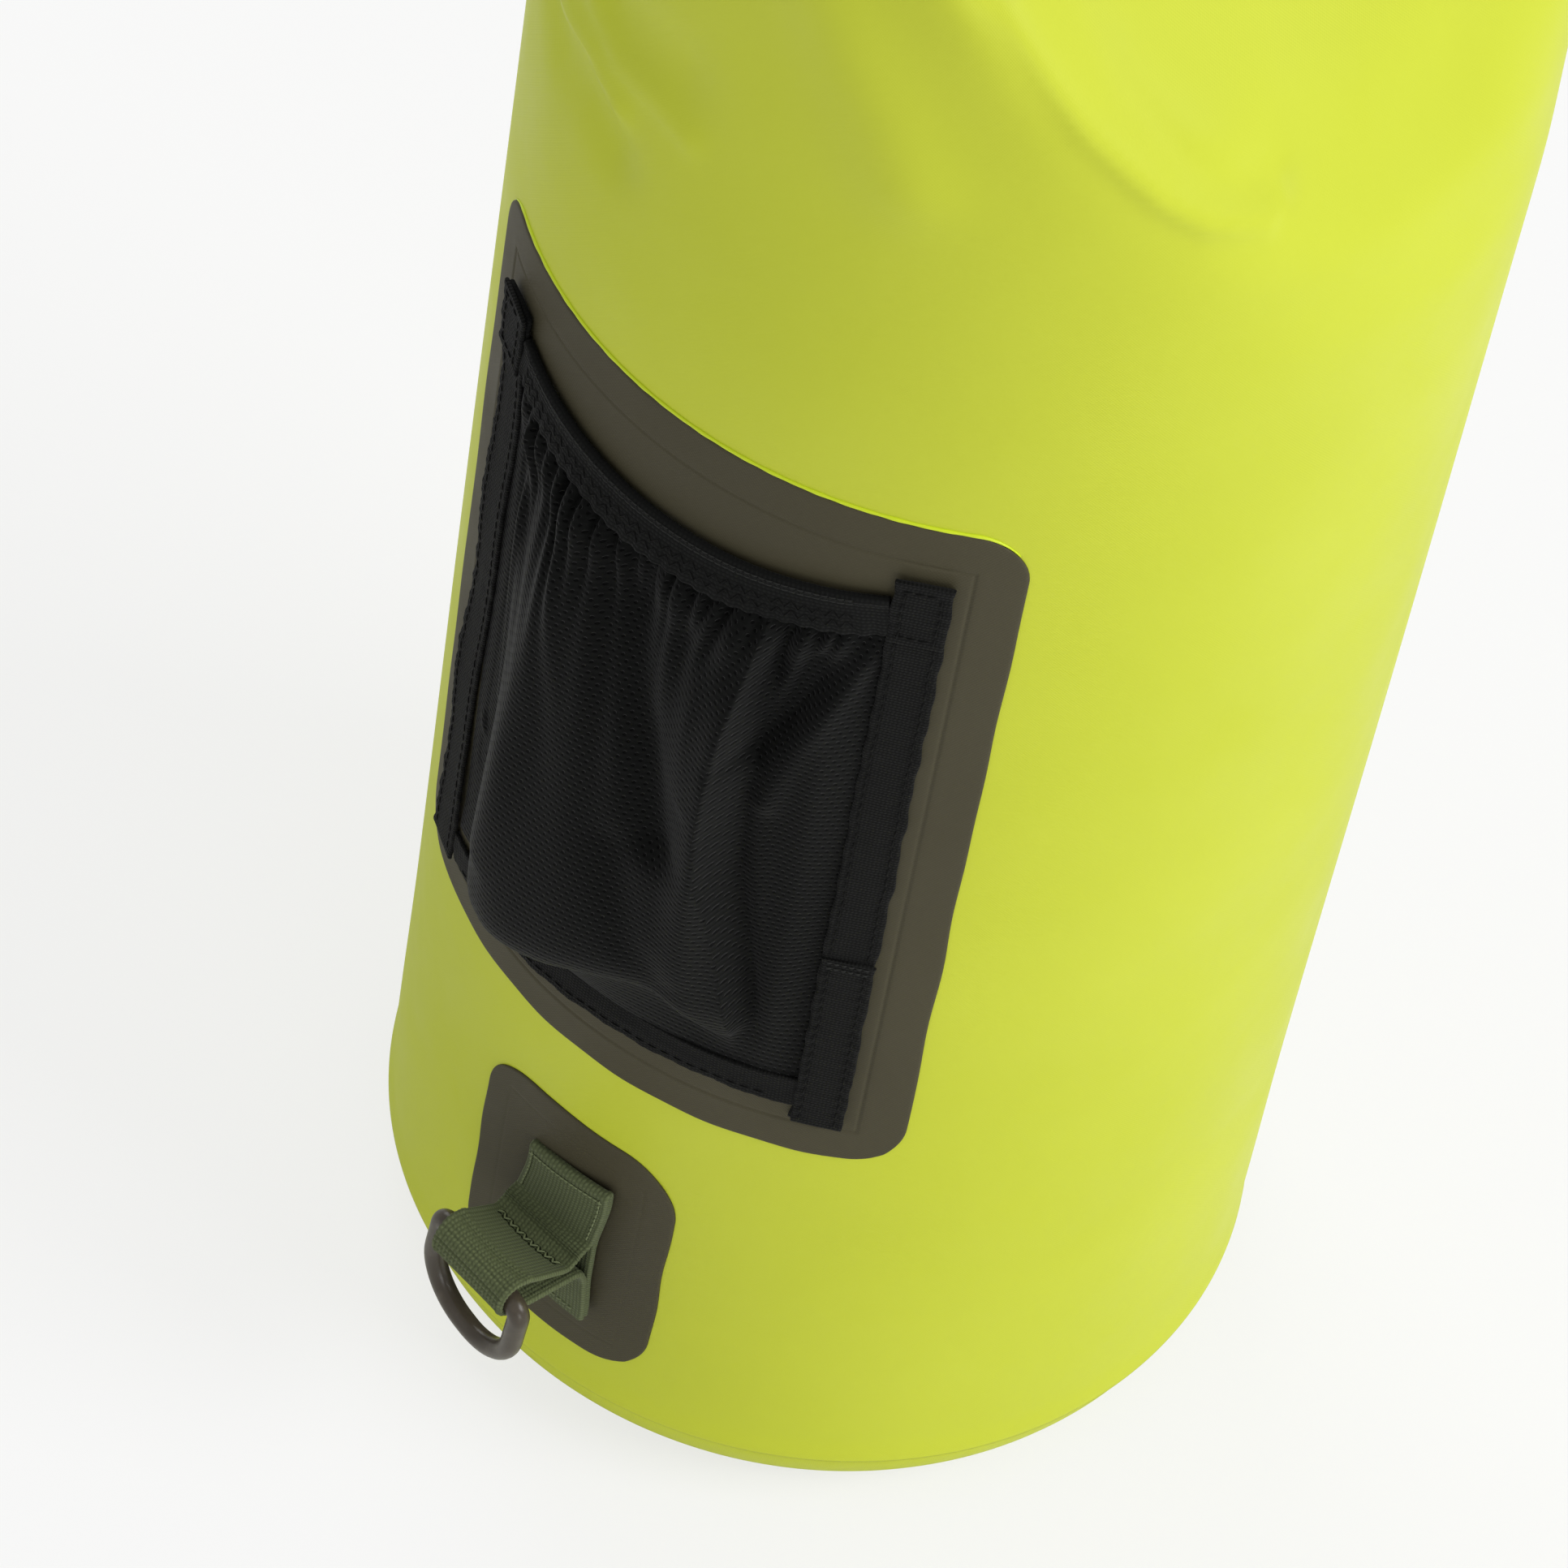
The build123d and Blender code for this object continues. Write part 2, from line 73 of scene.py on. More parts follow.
# %% [markdown]
# ## Turning a grid into a mesh
# A surface is an array of points, rows by columns. Blender wants a flat list of corners and
# a list of faces, and numpy makes both at once. Going round a closed loop, the last column
# joins the first, so there is no seam to fall open.

# %% Grids
def grid_faces(rows, cols, wrap=False):
    """Quads between neighbours: (i, j), (i, j+1), (i+1, j+1), (i+1, j), as whole arrays."""
    last = cols if wrap else cols - 1
    i, j = np.meshgrid(np.arange(rows - 1), np.arange(last), indexing="ij")
    k = (j + 1) % cols
    a, b = i * cols + j, i * cols + k
    return np.stack([a, b, b + cols, a + cols], -1).reshape(-1, 4)


def mesh_piece(name, points, faces, uv=None, material=None, body="bag"):
    """Points (n, 3), faces as lists of corners, uv (n, 2) per point in metres of cloth."""
    mesh = bpy.data.meshes.new(name)
    mesh.from_pydata(points.reshape(-1, 3), [], [list(f) for f in faces])
    if uv is not None:
        layer = mesh.uv_layers.new(name="cloth")
        corners = np.empty(len(mesh.loops), np.int32)
        mesh.loops.foreach_get("vertex_index", corners)
        layer.data.foreach_set("uv", uv.reshape(-1, 2)[corners].astype(np.float32).ravel())
    mesh.polygons.foreach_set("use_smooth", np.ones(len(mesh.polygons), bool))
    mesh.update()
    piece = bpy.data.objects.new(name, mesh)
    bpy.context.scene.collection.objects.link(piece)
    if material:
        mesh.materials.append(material)
    if body:
        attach(piece, body)
    return piece


def thicken(piece, name, thickness):
    """Gives a sheet its thickness, which grows from its points against its normals."""
    wall = piece.modifiers.new(name, "SOLIDIFY")
    wall.thickness, wall.offset = thickness, -1


def carry_on(piece, length):
    """Where a closed grid of quads joins itself, u goes on to its full length, not to 0."""
    layer = piece.data.uv_layers["cloth"].data
    uv = np.empty(2 * len(layer), np.float32)
    layer.foreach_get("uv", uv)
    uv = uv.reshape(-1, 4, 2)
    uv[..., 0] += length * (uv[..., 0] < uv[..., 0].max(1, keepdims=True) - length / 2)
    layer.foreach_set("uv", uv.ravel())


def waves(u, v, seed, count=6, low=1.0, high=3.0):
    """Smooth unevenness: a sum of sines in turned directions, divided by its own size."""
    rng = np.random.default_rng(seed)
    total = np.zeros(np.broadcast(u, v).shape)
    for turn, pace, start in zip(rng.uniform(0, np.pi, count), rng.uniform(low, high, count),
                                 rng.uniform(0, 2 * np.pi, count)):
        total = total + np.sin(pace * (u * np.cos(turn) + v * np.sin(turn)) + start)
    return total / np.sqrt(count)


def run_along(points):
    """Distance along a path from its first point to each of its points."""
    return np.concatenate([[0], np.cumsum(np.linalg.norm(np.diff(points, axis=0), axis=-1))])


def step(x, start, end):
    """0 before start, 1 after end, and 3t^2 - 2t^3 between them."""
    t = np.clip((x - start) / (end - start), 0, 1)
    return t * t * (3 - 2 * t)


def along_arc(arc, *pairs):
    """A smooth curve through guides of (place, value) in mm. Between two of them it is a
    cubic that keeps the slopes at both ends. Places and values come back in metres."""
    places, values = np.array(pairs, float).T / 1000
    k = np.clip(np.searchsorted(places, arc, side="right") - 1, 0, len(places) - 2)
    t = np.clip((arc - places[k]) / (places[k + 1] - places[k]), 0, 1)
    slope = np.gradient(values, places)
    width = places[k + 1] - places[k]
    h0, h1 = 2 * t ** 3 - 3 * t ** 2 + 1, t ** 3 - 2 * t ** 2 + t
    h2, h3 = 3 * t ** 2 - 2 * t ** 3, t ** 3 - t ** 2
    return h0 * values[k] + h1 * width * slope[k] + h2 * values[k + 1] + h3 * width * slope[k + 1]


def crease(arc, z, path, width, depth):
    """A fold along a run of (arc, height) points: depth * exp(-(distance / width)^2)."""
    total = np.zeros(np.broadcast(arc, z).shape)
    best = np.full(total.shape, np.inf)
    for (a0, z0), (a1, z1) in zip(path[:-1], path[1:]):
        da, dz = a1 - a0, z1 - z0
        t = np.clip(((arc - a0) * da + (z - z0) * dz) / (da * da + dz * dz), 0, 1)
        gap = (arc - a0 - t * da) ** 2 + (z - z0 - t * dz) ** 2
        best = np.minimum(best, gap)
    return depth * np.exp(-best / width ** 2)


def creases(arc, z, folds):
    """Several folds together, each one a (path, width, depth)."""
    return sum(crease(arc, z, *fold) for fold in folds)


# %% [markdown]
# ## Materials
# A finish is built from nodes. Small helpers keep that readable: one adds a node with its
# settings, and others do sums between sockets and numbers.

# %% Node helpers
def new_material(name, colour, roughness, **sockets):
    """A plain finish. Other sockets of its shader are given by name, with _ for a space."""
    material = bpy.data.materials.new(name)
    material.use_nodes = True
    shader = material.node_tree.nodes["Principled BSDF"]
    shader.inputs["Base Color"].default_value = (*colour, 1)
    shader.inputs["Roughness"].default_value = roughness
    for socket, value in sockets.items():
        shader.inputs[socket.replace("_", " ")].default_value = value
    return material


def node(material, kind, settings=None, **inputs):
    """Adds one node. An input is a number, a colour or another node's output socket."""
    made = material.node_tree.nodes.new(kind)
    for key, value in (settings or {}).items():
        setattr(made, key, value)
    for key, value in inputs.items():
        socket = made.inputs[key.replace("_", " ")]
        if isinstance(value, bpy.types.NodeSocket):
            material.node_tree.links.new(value, socket)
        else:
            socket.default_value = value
    return made


def sums(material, operation, *values, clamp=False):
    """One sum, such as MULTIPLY or SINE, of sockets and numbers."""
    made = material.node_tree.nodes.new("ShaderNodeMath")
    made.operation, made.use_clamp = operation, clamp
    for socket, value in zip(made.inputs, values):
        if isinstance(value, bpy.types.NodeSocket):
            material.node_tree.links.new(value, socket)
        else:
            socket.default_value = value
    return made.outputs[0]


def times(material, first, second):
    """The product of two sockets or numbers."""
    return sums(material, "MULTIPLY", first, second)


def sine(material, value, pace):
    """sin(value * pace)."""
    return sums(material, "SINE", times(material, value, pace))


def colour_mix(material, factor, first, second):
    """A colour between two others: the first where the factor is 0, the second where it is 1."""
    mix = material.node_tree.nodes.new("ShaderNodeMix")
    mix.data_type = "RGBA"
    for index, value in ((0, factor), (6, first), (7, second)):
        if isinstance(value, bpy.types.NodeSocket):
            material.node_tree.links.new(value, mix.inputs[index])
        else:
            mix.inputs[index].default_value = value if index == 0 else (*value, 1)
    return mix.outputs[2]


def plug_in(material, **outputs):
    """Joins sockets to the shader, such as Base_Color=..., Roughness=..., Normal=..."""
    shader = material.node_tree.nodes["Principled BSDF"]
    for key, value in outputs.items():
        material.node_tree.links.new(value, shader.inputs[key.replace("_", " ")])


def cloth_place(material):
    """The two cloth coordinates of the piece's own UV map, in metres."""
    uv = node(material, "ShaderNodeUVMap", {"uv_map": "cloth"}).outputs["UV"]
    split = node(material, "ShaderNodeSeparateXYZ", Vector=uv)
    return split.outputs["X"], split.outputs["Y"]


def speckle(material, scale, detail=4.0):
    """Soft noise from 0 to 1, with scale spots to the metre of the sack's own frame."""
    place = node(material, "ShaderNodeTexCoord").outputs["Object"]
    return node(material, "ShaderNodeTexNoise", Scale=scale, Detail=detail,
                Vector=place).outputs["Fac"]


def relief(material, height, distance, strength=1.0, under=None):
    """Bump from a height socket; distance is how deep the relief is, in metres."""
    made = node(material, "ShaderNodeBump", Height=height, Distance=distance, Strength=strength)
    if under is not None:
        material.node_tree.links.new(under, made.inputs["Normal"])
    return made.outputs["Normal"]


# %% [markdown]
# ### Coated cloth
# The sack's cloth is woven polyester with a smooth rubbery coat. It is satin, nearly plain,
# with a faint weave under the coat and slightly uneven gloss where hands have rubbed it.

# %% Coated cloth
def coated_cloth(name, colour, dark, roughness, gloss, weave=0.00075, weave_depth=0.00002):
    """Colour drifts between two near tones; the weave is sin(u) * sin(v) under the coat."""
    m = new_material(name, colour, roughness, Specular_IOR_Level=gloss)
    drift = node(m, "ShaderNodeMapRange", Value=speckle(m, 9.0, 3.0), From_Min=0.35,
                 From_Max=0.68).outputs["Result"]
    plug_in(m, Base_Color=colour_mix(m, drift, dark, colour))
    rub = node(m, "ShaderNodeMapRange", Value=speckle(m, 34.0, 5.0), From_Min=0.3, From_Max=0.75,
               To_Min=roughness - 0.06, To_Max=roughness + 0.07).outputs["Result"]
    u, v = cloth_place(m)
    threads = times(m, sine(m, u, 2 * np.pi / weave), sine(m, v, 2 * np.pi / weave))
    under = relief(m, threads, weave_depth, 0.5)
    soft = relief(m, speckle(m, 120.0, 3.0), 0.00025, 0.25, under)
    plug_in(m, Roughness=rub, Normal=soft)
    return m


lime = coated_cloth("lime_coated_cloth", (0.605, 0.670, 0.046), (0.570, 0.634, 0.036), 0.46, 0.20)
# Painted highlight: the bead is a brighter lime than the cloth, for the light caught along the patch's
# upper edge.
lime_bead_highlight = new_material("lime_bead_painted_highlight", (0.66, 0.80, 0.025), 0.35, Specular_IOR_Level=0.3)
olive = coated_cloth("olive_welded_patch", (0.073, 0.065, 0.038), (0.065, 0.058, 0.034), 0.52, 0.13,
                     0.0009, 0.00004)


# %% [markdown]
# ## The tube, the shoulder and the neck
# Filled and stood up, the sack is round. Above the shoulder its two faces lean in to the flat
# mouth, while the ends under the handle stay round, so soft ridges run between them.
# A section at any height is the smooth lesser of two shapes, the round tube and a slab that
# gets thinner upwards. That gives the ridges without modelling them one by one.

# %% Section of the sack
def tube_unevenness(arc, z):
    """How far the filled cloth stands out from a true tube: slow waves, under 1 mm."""
    a = arc / R
    slow = waves(3 * np.cos(a) + 2 * np.sin(a), z * 14, 3, 5, 0.7, 1.6) * 0.0004
    return slow * step(z, 0.03, 0.10)


def shoulder_folds(arc, z):
    """Dents and ridges that run down from the neck over the shoulder."""
    ridge = [(0.046, 0.5190), (0.053, 0.5080), (0.0635, 0.4945), (0.0725, 0.4835),
             (0.0810, 0.4755), (0.0905, 0.4665), (0.1010, 0.4595), (0.1160, 0.4545)]
    inner = [(a + 0.0045, h + 0.0040) for a, h in ridge]
    return creases(arc, z, (
        (ridge, 0.0034, 0.0022),
        (inner, 0.0040, -0.0018),
        ([(-0.085, 0.455), (-0.061, 0.4365), (-0.046, 0.4375), (-0.033, 0.4325)], 0.0042, 0.0018),
        ([(-0.080, 0.436), (-0.060, 0.4240), (-0.046, 0.4245), (-0.034, 0.4200)], 0.0080, -0.0026),
        ([(-0.052, 0.451), (-0.035, 0.4430), (-0.022, 0.4440), (-0.012, 0.4415)], 0.0040, 0.0012),
        ([(-0.058, 0.470), (-0.040, 0.4550), (-0.018, 0.4570)], 0.0090, -0.0020),
        ([(0.006, 0.520), (0.014, 0.4990), (0.0235, 0.4845), (0.0305, 0.4745), (0.038, 0.460)],
         0.0110, 0.0024),
        ([(0.120, 0.462), (0.150, 0.452), (0.185, 0.455)], 0.012, -0.0030),
        ([(0.240, 0.455), (0.270, 0.475), (0.285, 0.515)], 0.010, 0.0028),
        ([(0.262, 0.450), (0.290, 0.470), (0.305, 0.510)], 0.009, -0.0040),
        ([(-0.110, 0.515), (-0.124, 0.474), (-0.150, 0.455)], 0.010, 0.0026)))


def neck_top(x):
    """Height of the cloth's upper edge: up to the roll and along both of its bends."""
    side = np.clip(np.abs(x) - ROLL_STRAIGHT, 0, ROLL_BEND + ROLL_OUT - 0.0005)
    reach = ROLL_BEND + ROLL_OUT
    return ROLL_Z + ROLL_BEND - np.sqrt(reach ** 2 - side ** 2) + 0.0015


SHOULDER_DEPTHS = ((0, 220), (380, 220), (400, 160), (416, 124), (440, 105.5), (458, 93.0),
                   (470, 82.5), (483, 70.0), (495, 59.0), (508, 47.5), (520, 36.0), (531, 22.0),
                   (539, 11.0), (545, 6.6), (560, 6.6))


LEAN_Z = 0.408              # where the faces start to lean in


def section(z, angles):
    """Radius at each angle: (w^-p + (d / |sin|)^-p)^(-1/p). The half width w falls with a
    cosine from the shoulder to the neck, and the half depth d goes through the guides."""
    t = np.clip((z - LEAN_Z) / (NECK_Z - LEAN_Z), 0, 1)
    fall = (1 + np.cos(np.pi * t)) / 2
    depth = along_arc(np.asarray(z, float), *SHOULDER_DEPTHS)
    width = NECK_HALF_WIDTH + (R - NECK_HALF_WIDTH) * fall
    p = 15.0
    share = np.abs(np.sin(angles)) + 1e-9
    return (width ** -p + (depth / share) ** -p) ** (-1 / p)


def sack_rows(heights, columns):
    """Points at even shares of the section's length, so columns are threads of the cloth."""
    dense = np.linspace(0, 2 * np.pi, 3001)
    even = np.arange(columns) / columns
    rows = []
    for z in heights:
        r = section(z, dense)
        x, y = -r * np.cos(dense), -r * np.sin(dense)
        run = np.concatenate([[0], np.cumsum(np.hypot(np.diff(x), np.diff(y)))])
        angle = np.interp(even * run[-1], run, dense)
        rows.append(np.stack([angle, section(z, angle)], -1))
    return np.array(rows)


# %% Build the tube
columns = 456
heights = np.concatenate([
    [0.0215, 0.0222, 0.0240, 0.0270], np.arange(0.031, 0.401, 0.0115),
    np.arange(0.405, NECK_Z + 1e-6, 0.0025)])
polar = sack_rows(heights, columns)
angle, radius = polar[..., 0], polar[..., 1]
tall = np.repeat(heights[:, None], columns, 1)
arc = np.where(angle > np.pi, angle - 2 * np.pi, angle) * R
hem = 0.0007 * np.exp(-((tall - 0.0225) / 0.004) ** 2)
radius = radius + tube_unevenness(arc, tall) + shoulder_folds(arc, tall) * (
    1 - step(tall, 0.520, 0.540)) + hem
tube = np.stack([-radius * np.cos(angle), -radius * np.sin(angle), tall], -1)

neck_share = np.linspace(0, 1, 15)[1:, None]
top = tube[-1]
rim = neck_top(top[:, 0])
neck = np.repeat(top[None], len(neck_share), 0)
neck[..., 2] = NECK_Z + neck_share * (rim - NECK_Z)[None]
thread = np.arange(columns)[None] / columns * 2 * np.pi * R
ripple = waves(top[:, 0][None] * 60, neck[..., 2] * 40, 8, 5, 0.6, 1.8) * 0.0008
neck[..., 1] += ripple * np.sin(neck_share * np.pi)
sack_points = np.concatenate([tube, neck])
sack_uv = np.stack([np.broadcast_to(thread, sack_points.shape[:2]), sack_points[..., 2]], -1)
sack = mesh_piece("sack_cloth", sack_points, grid_faces(len(sack_points), columns, True),
                  sack_uv, lime)
carry_on(sack, 2 * np.pi * R)
thicken(sack, "cloth thickness", CLOTH)
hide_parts("body_shell")

# %% [markdown]
# ## The base
# A round base panel with a soft edge is welded inside the tube. It is a profile turned about
# the upright axis. The tube's lower edge laps over it, which shows as a fine line.

# %% Base panel
turns = 240
edge = np.radians(np.linspace(0, 90, 16))
profile_r = np.concatenate([[0.1078, 0.1080, 0.1088, 0.1092], 0.088 + 0.0212 * np.cos(edge),
                            np.linspace(0.084, 0.0, 12)])
profile_z = np.concatenate([[0.036, 0.0235, 0.0222, 0.0218], BASE_EDGE - 0.0220 * np.sin(edge),
                            np.zeros(12)])
turn = np.arange(turns) / turns * 2 * np.pi
ring_r, ring_z = profile_r[::-1, None], profile_z[::-1, None]
dimple = waves(ring_r * np.cos(turn) * 30, ring_r * np.sin(turn) * 30, 21, 5, 0.7, 1.6)
lift = 0.0012 * step(0.080 - ring_r, 0, 0.05) * (1 + 0.4 * dimple)
base_points = np.stack([-ring_r * np.cos(turn), -ring_r * np.sin(turn), ring_z + lift], -1)
centre = base_points[0].mean(0)
base_points[0] = centre
base_uv = np.stack([base_points[..., 0], base_points[..., 1]], -1)
base = mesh_piece("base_cloth", base_points, grid_faces(len(profile_r), turns, True), base_uv, lime)
thicken(base, "cloth thickness", BASE_CLOTH)
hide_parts("base_panel")

# %% [markdown]
# ## Pieces that lie on the tube
# Patches and tapes follow the cloth under them. `on_tube` gives the point at an arc length,
# a height and a stand-off from the cloth, so whatever is laid on the sack shares its shape.

# %% Laying things on the tube
def on_tube(arc, z, off):
    """(-r cos a, -r sin a, z) with a = arc / R and r = R + unevenness + stand-off."""
    arc, z, off = np.broadcast_arrays(arc, z, off)
    r = R + tube_unevenness(arc, z) + off
    return np.stack([-r * np.cos(arc / R), -r * np.sin(arc / R), z], -1)


def marks(half, fine_at, coarse=0.0022, fine=0.00022, reach=0.0012):
    """Positions from -half to half: coarse steps, with fine steps round each mark."""
    spots = [np.arange(-half, half, coarse)]
    for at in fine_at:
        spots.append(np.arange(at - reach, at + reach, fine))
    rim = half - np.array([0, 0.00012, 0.00030, 0.00060, 0.00100])
    spots += [rim, -rim]
    every = np.unique(np.round(np.concatenate(spots), 6))
    every = every[np.abs(every) <= half + 1e-9]
    keep = np.concatenate([[True], np.diff(every) > 0.00009])
    return every[keep]


PATCH_THICK = 0.0003


def welded_sheet(name, width, height, mid_z, corner, tilt, line_at, depth, seed, replaced):
    """A rounded sheet. Its corner squares are pressed to quarter discs:
    (p, q) -> (p sqrt(1 - q^2 / 2), q sqrt(1 - p^2 / 2)). A groove follows the weld line.
    Rounding takes (4 - pi) corner^2 from its area."""
    a, b = width / 2, height / 2
    x, y = np.meshgrid(marks(a, [line_at - a, a - line_at]), marks(b, [line_at - b, b - line_at]))
    inset = np.minimum(a - np.abs(x), b - np.abs(y))
    p = np.clip((np.abs(x) - a + corner) / corner, 0, 1)
    q = np.clip((np.abs(y) - b + corner) / corner, 0, 1)
    flat_x = np.sign(x) * (np.minimum(np.abs(x), a - corner) + corner * p * np.sqrt(1 - q * q / 2))
    flat_y = np.sign(y) * (np.minimum(np.abs(y), b - corner) + corner * q * np.sqrt(1 - p * p / 2))
    wander = waves(flat_x * 260, flat_y * 260, seed, 5, 0.6, 1.5) * 0.00022
    outside = np.exp(-inset / 0.002)
    edge = np.sqrt(np.clip(1 - (1 - np.minimum(inset / 0.0009, 1)) ** 2, 0, 1))
    line = np.exp(-((inset - line_at) / 0.00042) ** 2)
    lip = np.exp(-((inset - line_at + 0.0011) / 0.0005) ** 2)
    swell = waves(flat_x * 70, flat_y * 70, seed + 1, 6, 0.6, 1.6)
    off = 0.00005 + 0.00060 * edge - depth * (line - 0.3 * lip) + 0.00008 * swell * edge
    turn = np.radians(tilt)
    sx = flat_x * np.cos(turn) - flat_y * np.sin(turn) + wander * outside
    sy = flat_x * np.sin(turn) + flat_y * np.cos(turn) + wander * outside
    points = on_tube(sx, mid_z + sy, off)
    piece = mesh_piece(name, points, grid_faces(*x.shape), np.stack([flat_x, flat_y], -1), olive)
    thicken(piece, "sheet thickness", PATCH_THICK)
    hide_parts(replaced)


PATCH_WIDTH, PATCH_HEIGHT, PATCH_Z, PATCH_CORNER = 0.1583, 0.2197, 0.2564, 0.013
welded_sheet("pocket_patch_sheet", PATCH_WIDTH, PATCH_HEIGHT, PATCH_Z, PATCH_CORNER, 0.0,
             0.0113, 0.00022, 41, "pocket_patch")


# %% [markdown]
# ### The lower patch
# It is the same kind of sheet, smaller and rounder, under the webbing tab.

# %% Patch of the lower tab
welded_sheet("ring_patch_sheet", 0.0597, 0.0840, 0.0783, 0.0165, -1.2, 0.0085, 0.00006, 57,
             "lower_patch")


# %% [markdown]
# ## Tapes, straps and wires
# A tape, a strap and a ring's wire are all the same idea: a closed outline carried along a
# path. At each step the outline is placed by two directions, one across and one outward.

# %% Carrying an outline along a path
def flat_loop(width, thick, count=9):
    """Outline of a tape: a run, a half-round edge, the run back and the other edge."""
    half, r = width / 2 - thick / 2, thick / 2
    run = np.linspace(-half, half, count)
    bow = np.radians(np.linspace(90, -90, 7))[1:-1]
    right = np.stack([half + r * np.cos(bow), r * np.sin(bow)], -1)
    left = np.stack([-half - r * np.cos(bow), -r * np.sin(bow)], -1)
    top = np.stack([run, np.full(count, r)], -1)
    return np.concatenate([top, right, -top, left])


def round_loop(radius, count):
    """Outline of a wire or a bead: points at even angles round a circle."""
    turn = np.arange(count) / count * 2 * np.pi
    return radius * np.stack([np.cos(turn), np.sin(turn)], -1)


def unit(vectors):
    """Each vector divided by its own length."""
    return vectors / np.linalg.norm(vectors, axis=-1, keepdims=True)


rails = {}


def carried(name, path, across, outward, outline, material, body, shape=None, closed=False,
            warp=None):
    """path + x * across + y * outward for every outline point (x, y) at every step.
    shape(x, y, run) may return changed x and y, so a tape can swell or ripple, and
    warp(points, run) may move the finished points."""
    run = run_along(path)
    rails[name] = (run, path, across, outward, shape, warp)
    x, y = (np.broadcast_to(outline[None, :, k], (len(path), len(outline))) for k in (0, 1))
    if shape:
        x, y = shape(x, y, run[:, None])
    points = path[:, None] + x[..., None] * across[:, None] + y[..., None] * outward[:, None]
    if warp:
        points = warp(points, np.broadcast_to(run[:, None], x.shape))
    uv = np.stack([x + 0 * y, np.broadcast_to(run[:, None], x.shape)], -1)
    m = len(outline)
    faces = grid_faces(len(path), m, True)
    if closed:
        faces = grid_faces(len(path) + 1, m, True) % (len(path) * m)
    faces = [list(f) for f in faces]
    if not closed:
        first = np.arange(m)
        faces += [list(first[::-1]), list(first + (len(path) - 1) * m)]
    piece = mesh_piece(name, points, faces, uv, material, body)
    outwards(piece)
    return piece


def outwards(piece):
    """Recalculates a closed piece's normals, so that its faces point out."""
    made = bmesh.new()
    made.from_mesh(piece.data)
    bmesh.ops.recalc_face_normals(made, faces=made.faces)
    made.to_mesh(piece.data)
    made.free()


def on_rail(rail, x, y, at):
    """Points at x across and y above a carried piece's middle line, and the outward line."""
    run, path, across, outward, shape, warp = rails[rail]
    at = np.clip(at, 0, run[-1])
    x, y = np.broadcast_to(x, at.shape) + 0.0, np.broadcast_to(y, at.shape) + 0.0
    if shape:
        x, y = shape(x, y, at)
    middle, side, up = (np.stack([np.interp(at, run, a[:, k]) for k in range(3)], -1)
                        for a in (path, np.broadcast_to(across, path.shape), outward))
    points = middle + x[..., None] * side + y[..., None] * up
    return (warp(points, at) if warp else points), up


def threads(name, starts, ends, ups, thick, material, body="bag"):
    """Sewing thread: each stitch is a spindle that dives in at both ends. It is five hexagons
    at given shares of the way, small at both ends, and all spindles are made together."""
    share = np.array([0.0, 0.14, 0.5, 0.86, 1.0])
    size = np.array([0.35, 0.85, 1.0, 0.85, 0.35]) * thick / 2
    rise = np.array([-0.55, 0.25, 0.55, 0.25, -0.55]) * thick / 2
    along = unit(ends - starts)
    side = unit(np.cross(along, ups))
    top = np.cross(side, along)
    turn = np.arange(6) / 6 * 2 * np.pi
    middle = (starts[:, None] + share[None, :, None] * (ends - starts)[:, None]
              + rise[None, :, None] * top[:, None])
    ring = (np.cos(turn)[:, None] * side[:, None, None] + np.sin(turn)[:, None] * top[:, None, None])
    points = middle[:, :, None] + size[None, :, None, None] * ring
    walls = grid_faces(5, 6, True)[:, ::-1]
    ends_of = [np.arange(6), np.arange(24, 30)[::-1]]
    faces = [list(f + 30 * k) for k in range(len(starts)) for f in walls]
    faces += [list(f + 30 * k) for k in range(len(starts)) for f in ends_of]
    piece = mesh_piece(name, points, faces, None, material, body)
    outwards(piece)
    return piece


def stitch_row(rail, x, y, first, last, pitch=0.0034, length=0.0026):
    """A straight row of stitches: starts, ends and outward lines."""
    at = np.arange(first, last - length, pitch)
    start, up = on_rail(rail, x, y, at)
    end, _ = on_rail(rail, x, y, at + length)
    return start, end, up


def zigzag_row(rail, x, y, half, first, last, pitch=0.0022):
    """Stitches that swing from side to side of the row."""
    at = np.arange(first, last, pitch)
    swing = half * (-1.0) ** np.arange(len(at))
    corner, up = on_rail(rail, x + swing, y, at)
    return corner[:-1], corner[1:], up[:-1]


def cross_row(rail, at, y, half, pitch=0.0026, length=0.0021):
    """A row of stitches straight across a tape, at one place along it."""
    x = np.arange(-half, half - length, pitch)
    place = np.full(len(x), at)
    start, up = on_rail(rail, x, y, place)
    end, _ = on_rail(rail, x + length, y, place)
    return start, end, up


def cross_zigzag(rail, at, y, half, swing, pitch=0.0012):
    """Stitches that swing along the tape while the row goes straight across it."""
    x = np.arange(-half, half, pitch)
    corner, up = on_rail(rail, x, y, at + swing * (-1.0) ** np.arange(len(x)))
    return corner[:-1], corner[1:], up[:-1]


def run_near(rail, place):
    """How far along a carried piece its path comes nearest to a place."""
    run, path = rails[rail][:2]
    return run[np.argmin(np.linalg.norm(path - place, axis=1))]


def sewn(name, rows, thick, material, body="bag"):
    """Rows of stitches, each one (starts, ends, outward lines), as one piece of thread."""
    return threads(name, *(np.concatenate([row[k] for row in rows]) for k in range(3)), thick,
                   material, body)


def tube_frames(arc, z, off):
    """Path on the tube with its across and outward directions, all as arrays."""
    path = on_tube(arc, z, off)
    along = unit(np.gradient(path, axis=0))
    outward = unit(path * [1, 1, 0])
    across = unit(np.cross(along, outward))
    outward = unit(np.cross(across, along))
    return path, across, outward


# %% [markdown]
# ### Woven tape, webbing, elastic and net
# Their finish follows the cloth coordinates: u across the piece and v along it.

